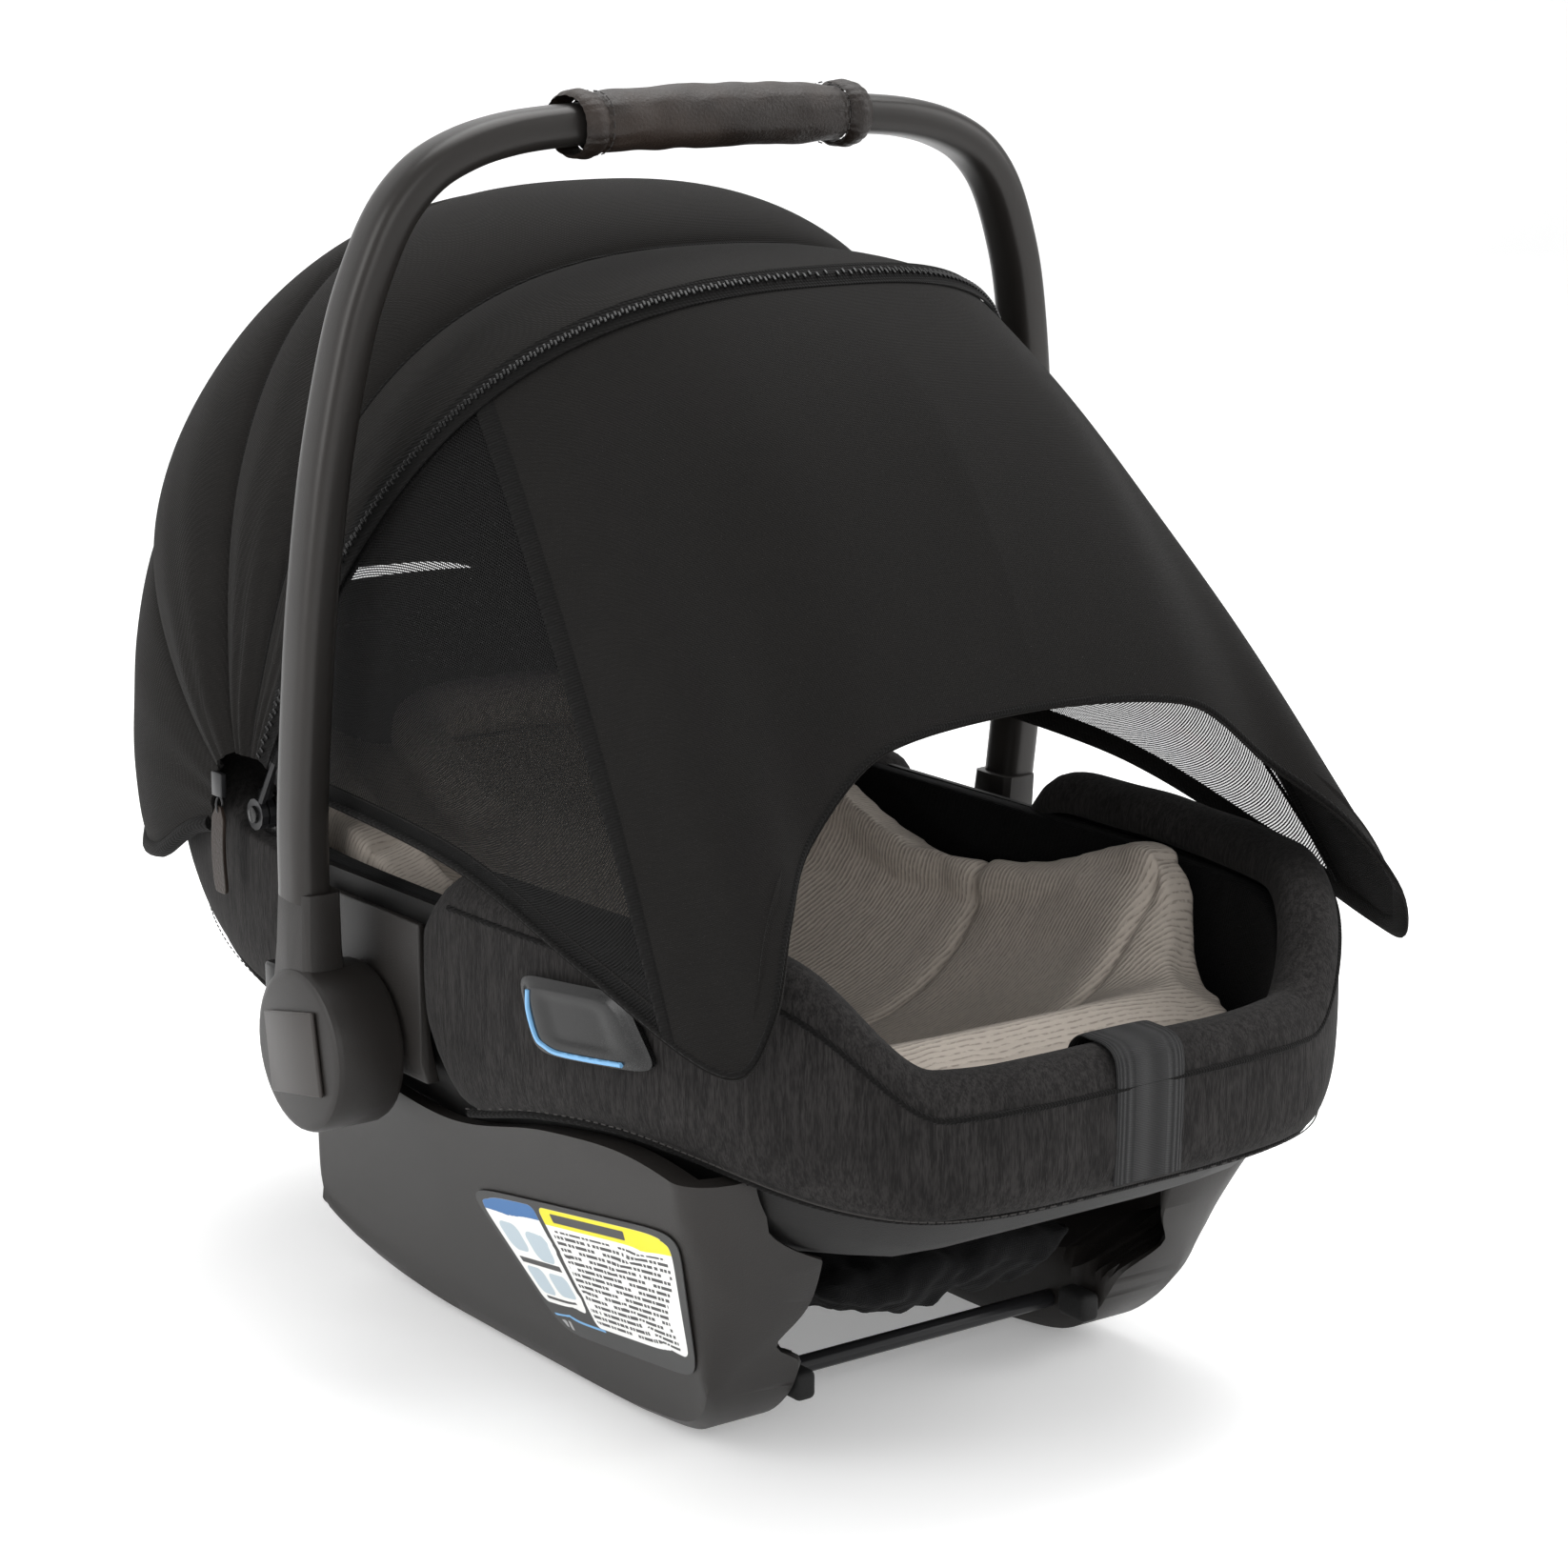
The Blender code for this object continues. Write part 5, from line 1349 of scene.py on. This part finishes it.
def round_share(u, v, power=5.0):
    """Carries the unit square to a square with rounded corners."""
    a, b = 2 * u - 1, 2 * v - 1
    reach = max(abs(a), abs(b))
    if reach < 1e-6:
        return u, v
    curve = (abs(a / reach) ** power + abs(b / reach) ** power) ** (-1 / power)
    return 0.5 + 0.5 * a * curve, 0.5 + 0.5 * b * curve


GUIDE_CORNERS = [(-0.138, 0.2235), (-0.208, 0.2295), (-0.228, 0.1985), (-0.150, 0.1905)]


def build_guide(name, side):
    def place(u, v):
        a, b = round_share(u, v, 6.0)
        spot = corner_blend(GUIDE_CORNERS, a, b)
        edge = min(u, 1 - u, v, 1 - v)
        dome = 0.0040 + 0.0024 * smooth_step(0.0, 0.13, edge) - 0.0009 * smooth_step(0.16, 0.30, edge)
        return on_cover(side, spot.x, spot.y, dome)
    guide = lay_sheet(f"guide_plate_{name}", 48, 32, place)
    edit(guide, (bpy.ops.mesh.normals_make_consistent, {"inside": False}))
    if guide.data.polygons[0].normal.x * side < 0:
        edit(guide, (bpy.ops.mesh.flip_normals, {}))
    thicken(guide, 0.0030, -1.0)
    guide.data.materials.append(GLOSS_TRIM.material)
    shade(guide, 40)
    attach(guide, "seat")
    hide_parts(f"belt_guide_{name}")
    line = []
    for u, v in ((0.10, 0.84), (0.075, 0.55), (0.085, 0.22), (0.13, 0.10), (0.25, 0.075), (0.5, 0.07),
                 (0.78, 0.07)):
        a, b = round_share(u, v, 6.0)
        spot = corner_blend(GUIDE_CORNERS, a, b)
        line.append(on_cover(side, spot.x, spot.y, 0.0062))
    mark = rod(f"guide_mark_{name}", line, 0.0012, 6, 60)
    mark.data.materials.append(ACCENT_BLUE.material)
    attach(mark, "seat")


LABEL_CORNERS = [(-0.044, 0.0945), (-0.235, 0.1280), (-0.205, 0.0455), (-0.088, 0.0310)]
LABEL_WIDTH, LABEL_HEIGHT = 0.158, 0.074


def print_finish():
    """Generic label print: ruled panels with coloured headers, drawn from the piece's own map."""
    paper = Finish("printed_label", (0.010, 0.010, 0.010), 0.38)
    u, v = paper.uv(LABEL_WIDTH, LABEL_HEIGHT)

    def panel(low_u, high_u, low_v, high_v, corner):
        across = (u - (low_u + high_u) / 2).math("ABSOLUTE") - (high_u - low_u) / 2 + corner
        along = (v - (low_v + high_v) / 2).math("ABSOLUTE") - (high_v - low_v) / 2 + corner
        outside = (across.greatest(0.0) * across.greatest(0.0)
                   + along.greatest(0.0) * along.greatest(0.0)).math("SQRT")
        edge = outside + across.greatest(along).least(0.0) - corner
        return 1.0 - (edge * 4000.0 + 0.5).math("ADD", 0.0, clamp=True)

    def lines(pitch, fill, seed):
        row = (v / pitch).math("FLOOR")
        wobble = (row * 12.9898 + seed).math("SINE") * 0.5 + 0.5
        in_row = (v / pitch).math("FRACT") < fill
        word = ((u * 1100.0 + row * 7.3 + (u * 420.0 + row * 3.1).math("SINE") * 3.0).math("SINE")
                > -0.72)
        return in_row * word * ((u - (wobble * 0.01 + 0.139)) < 0.0)
    colour = (0.012, 0.012, 0.012)
    white, ink = (0.78, 0.78, 0.76), (0.03, 0.03, 0.03)
    right = panel(0.054, 0.152, 0.010, 0.071, 0.004)
    right_ink = panel(0.057, 0.149, 0.0125, 0.0600, 0.002) * lines(0.0031, 0.52, 1.0)
    right_head = right * (v > 0.0622)
    left = panel(0.004, 0.050, 0.016, 0.071, 0.004)
    left_head = left * (v > 0.0635)
    picture = (panel(0.008, 0.024, 0.043, 0.058, 0.005) + panel(0.028, 0.045, 0.040, 0.056, 0.005)
               + panel(0.008, 0.024, 0.021, 0.035, 0.004) + panel(0.028, 0.046, 0.022, 0.034, 0.004))
    captions = panel(0.008, 0.046, 0.0365, 0.0395, 0.0005) + panel(0.010, 0.040, 0.0182, 0.0198, 0.0004)
    rule = panel(0.004, 0.062, 0.0085, 0.0098, 0.0004)
    marks = panel(0.006, 0.010, 0.002, 0.006, 0.001) + panel(0.013, 0.017, 0.002, 0.006, 0.001)
    tint = paper.mix(right, colour, white)
    tint = paper.mix(right_ink, tint, ink)
    tint = paper.mix(right_head, tint, (0.78, 0.66, 0.0))
    tint = paper.mix(panel(0.062, 0.118, 0.0642, 0.0688, 0.0008) * right_head, tint, ink)
    tint = paper.mix(left, tint, white)
    tint = paper.mix(left_head, tint, (0.022, 0.125, 0.33))
    tint = paper.mix(picture * left, tint, (0.42, 0.50, 0.55))
    tint = paper.mix(captions * left, tint, ink)
    tint = paper.mix(rule, tint, (0.13, 0.34, 0.60))
    tint = paper.mix(marks, tint, (0.30, 0.30, 0.30))
    paper.set(Base_Color=tint, Roughness=paper.grain(40.0) * 0.1 + 0.36)
    return paper


LABEL_PRINT = print_finish()


def build_label(name, side):
    def place(u, v):
        a, b = round_share(u, v, 9.0)
        spot = corner_blend(LABEL_CORNERS, a, b)
        return Vector((side * (rocker_outer(spot.y) + 0.0011), spot.x, spot.y))
    label = lay_sheet(f"printed_plate_{name}", 40, 24, place)
    if label.data.polygons[0].normal.x * side < 0:
        edit(label, (bpy.ops.mesh.flip_normals, {}))
    thicken(label, 0.0005, -1.0)
    label.data.materials.append(LABEL_PRINT.material)
    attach(shade(label, 40), "seat")
    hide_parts(f"label_{name}")


for name, side in SIDES:
    build_guide(name, side)
    build_label(name, side)
print("guides and labels done")

# %% [markdown]
# ## Webbing
# Webbing is a flat woven band about 1.5 mm thick with a rounded selvedge. It is modelled directly,
# as a section carried along its path, because a cloth simulation would need far smaller cells than
# the band is thick.

# %% Webbing
def webbing(name, path, width, thickness, finish, body, replaced, sag=0.0, steps=120):
    points = curve_through(path, steps + 1)

    def place(u, v):
        here = pick(points, v)
        along = (pick(points, v + 0.01) - pick(points, v - 0.01)).normalized()
        across = Vector((1, 0, 0))
        across = (across - along * across.dot(along)).normalized()
        turn = 2 * math.pi * u
        a, b = rounded(math.cos(turn), 5.0) * width / 2, rounded(math.sin(turn), 3.0) * thickness / 2
        drift = crumple((v * 3, 0, 0), 1.0, sag)
        return here + across * (a + drift * 0.3) + along.cross(across) * (b + drift)
    band = wrap_roll(name, 44, steps, place)
    band.data.materials.append(finish.material)
    shade(band, 50)
    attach(band, body)
    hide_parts(*replaced)
    return band


WIDE_WEBBING = ribbed_webbing("adjuster_webbing", 0.076)
NARROW_WEBBING = ribbed_webbing("harness_webbing", 0.050)
ADJUSTER_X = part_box("adjuster_strap")[1].x
strap_low, strap_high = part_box("adjuster_strap")
out_y = strap_low.y + 0.0010
top_z = strap_high.z - 0.0008
adjuster_path = [(0, strap_high.y - 0.0006, top_z - 0.020), (0, strap_high.y - 0.0020, top_z - 0.007),
                 (0, strap_high.y - 0.008, top_z - 0.0004), (0, out_y + 0.018, top_z + 0.0002),
                 (0, out_y + 0.008, top_z - 0.0004), (0, out_y + 0.0020, top_z - 0.0045),
                 (0, out_y, top_z - 0.014), (0, out_y, 0.172), (0, out_y + 0.001, strap_low.z + 0.0002)]
webbing("adjuster_band", adjuster_path, 2 * ADJUSTER_X, 0.0017, WIDE_WEBBING, "seat",
        ["adjuster_strap"])


def node_line(node, count=14):
    """Middle line of a strap node, from its own vertices, along Y."""
    points = sorted((v.co.copy() for v in frame["nodes"][node].data.vertices), key=lambda p: p.y)
    low, high = points[0].y, points[-1].y
    line = []
    for k in range(count):
        goal = low + (high - low) * (0.03 + 0.94 * k / (count - 1))
        near = [p for p in points if abs(p.y - goal) < (high - low) / count * 1.3]
        line.append(sum(near, Vector()) / len(near))
    return line


for name, side in SIDES:
    webbing(f"shoulder_band_{name}", node_line(f"shoulder_strap_{name}"), 0.025, 0.0016,
            NARROW_WEBBING, "seat", [f"shoulder_strap_{name}"])
webbing("crotch_band", node_line("crotch_strap", 6), 0.034, 0.0016, NARROW_WEBBING, "seat",
        ["crotch_strap"])
print("webbing done")

# %% [markdown]
# ## Stuffed pieces
# The infant insert, its head pillow and the bundled strap pocket are stuffed. Each starts as a
# remeshed copy of the simple solid in the frame, is blown up a little by a cloth simulation with
# inner pressure and no gravity, and keeps the wrinkles that leaves. A cap on how far any point
# moves keeps the piece in its own space.

# %% Stuffed pieces
SIM_FRAMES = 20


def stuffed(name, start, voxel, pressure, cap, shrink):
    """Cloth with inner pressure on a remeshed copy; start is the mesh it begins from."""
    item = bpy.data.objects.new(name, start)
    bpy.context.scene.collection.objects.link(item)
    edit(item, (bpy.ops.mesh.remove_doubles, {"threshold": 0.00001}))
    modify(item, "REMESH", mode="VOXEL", voxel_size=voxel, use_smooth_shade=True)
    if shrink:
        modify(item, "DISPLACE", strength=-shrink, mid_level=0.0)
    modify(item, "SMOOTH", factor=0.6, iterations=4)
    before = [v.co.copy() for v in item.data.vertices]
    cloth = item.modifiers.new("cloth", "CLOTH")
    settings = cloth.settings
    settings.quality = 5
    settings.mass = 0.25
    settings.tension_stiffness = 18
    settings.compression_stiffness = 18
    settings.bending_stiffness = 0.4
    settings.use_pressure = True
    settings.uniform_pressure_force = pressure
    settings.effector_weights.gravity = 0.0
    cloth.collision_settings.use_collision = False
    scene = bpy.context.scene
    for step in range(1, SIM_FRAMES + 1):
        scene.frame_set(step)
    only(item)
    bpy.ops.object.modifier_apply(modifier=cloth.name)
    scene.frame_set(1)
    for point, home in zip(item.data.vertices, before):
        push = point.co - home
        if push.length > cap:
            point.co = home + push * (cap / push.length)
    modify(item, "SMOOTH", factor=0.5, iterations=2)
    return subdivide_smoothly(item)


def finish_stuffed(item, finish, replaced):
    item.data.materials.clear()
    item.data.materials.append(finish.material)
    shade(item, 180)
    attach(item, "seat")
    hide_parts(*replaced)
    PIECES[item.name] = item
    print(item.name, len(item.data.polygons), "faces")
    return item


insert = stuffed("padded_insert", frame["nodes"]["infant_insert"].data.copy(), 0.0055, 2.5, 0.007,
                 0.0022)
CHANNELS = (-0.205, -0.060, 0.075)


def channel_push(co, normal):
    """Sewn channels: a narrow valley with a soft swell on either side."""
    push = 0.0
    for place in CHANNELS:
        line = place + 0.10 * abs(co.x) * (1 if place < -0.1 else -0.4)
        push -= 0.0036 * math.exp(-((co.y - line) / 0.0032) ** 2)
        push += 0.0009 * math.exp(-((abs(co.y - line) - 0.015) / 0.012) ** 2)
    return push


push_out(insert, channel_push)
finish_stuffed(insert, INSERT_KNIT, ["infant_insert"])
pillow = stuffed("padded_head_pillow", frame["nodes"]["head_support"].data.copy(), 0.0045, 4, 0.006, 0.001)
finish_stuffed(pillow, INSERT_KNIT, ["head_support"])
pocket = stuffed("bundled_pocket", frame["nodes"]["strap_pocket"].data.copy(), 0.0045, 2, 0.005, 0.002)
push_out(pocket, lambda co, normal: crumple(co, 48, 0.0052, 2.0) + crumple(co, 110, 0.0026, 5.0))
finish_stuffed(pocket, LINING, ["strap_pocket"])

# %% [markdown]
# ### Lining
# The black lining is a thick quilt pressed against the inside of the tub. A merged copy of the
# frame's solid, subdivided and softened, takes shallow quilting grooves on its inner face only.

# %% Lining
lining = bpy.data.objects.new("quilted_lining", frame["nodes"]["liner"].data.copy())
bpy.context.scene.collection.objects.link(lining)
edit(lining, (bpy.ops.mesh.remove_doubles, {"threshold": 0.00001}),
     (bpy.ops.mesh.tris_convert_to_quads, {}))
modify(lining, "BEVEL", width=0.003, segments=2, limit_method="ANGLE", angle_limit=math.radians(55))
subdivide_smoothly(lining, 2)


def quilt_push(co, normal):
    """Grooves across the inner face, every 85 mm."""
    inward = normal.dot(Vector((-co.x, -co.y, 0.12 - co.z)).normalized())
    groove = min(abs(math.sin((co.y + 0.3) * math.pi / 0.085)), 1.0)
    return -0.0022 * math.exp(-(groove / 0.10) ** 2) * smooth_step(0.1, 0.5, inward)


push_out(lining, quilt_push)
finish_stuffed(lining, LINING, ["liner"])

# %% [markdown]
# ## Zip pull
# A leather tab hangs from the zip's slider beside the canopy's pivot. It is two strips sewn back
# to back, with a keeper ring at the top.

# %% Zip pull
TAB_LOW, TAB_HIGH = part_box("zip_pull")
TAB_X = (TAB_LOW.x + TAB_HIGH.x) / 2
TAB_Y = (TAB_LOW.y + TAB_HIGH.y) / 2


def tab_place(u, v):
    a, b = round_share(u, v, 7.0)
    z = TAB_LOW.z + (TAB_HIGH.z - 0.004 - TAB_LOW.z) * b
    taper = 0.55 + 0.45 * smooth_step(0.0, 0.16, 1 - b)
    bow = 0.0012 * math.sin(b * math.pi)
    return Vector((TAB_X - bow, TAB_Y + (a - 0.5) * 0.0118 * taper, z))


tab = lay_sheet("leather_tab", 14, 40, tab_place)
thicken(tab, 0.0019)
modify(tab, "BEVEL", width=0.0004, segments=2, limit_method="ANGLE", angle_limit=math.radians(50))
tab.data.materials.append(GRIP_LEATHER.material)
shade(tab, 40)
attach(tab, "zip_tab")
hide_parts("zip_pull")
loop = []
for k in range(12):
    turn = 2 * math.pi * k / 12
    loop.append((TAB_X + 0.0017 * math.cos(turn), TAB_Y, TAB_HIGH.z - 0.0035 + 0.0042 * math.sin(turn)))
ring = rod("tab_ring", loop, 0.0006, 6, 28, closed=True)
ring.data.materials.append(DARK_STEEL.material)
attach(ring, "zip_tab")
print("zip pull done")
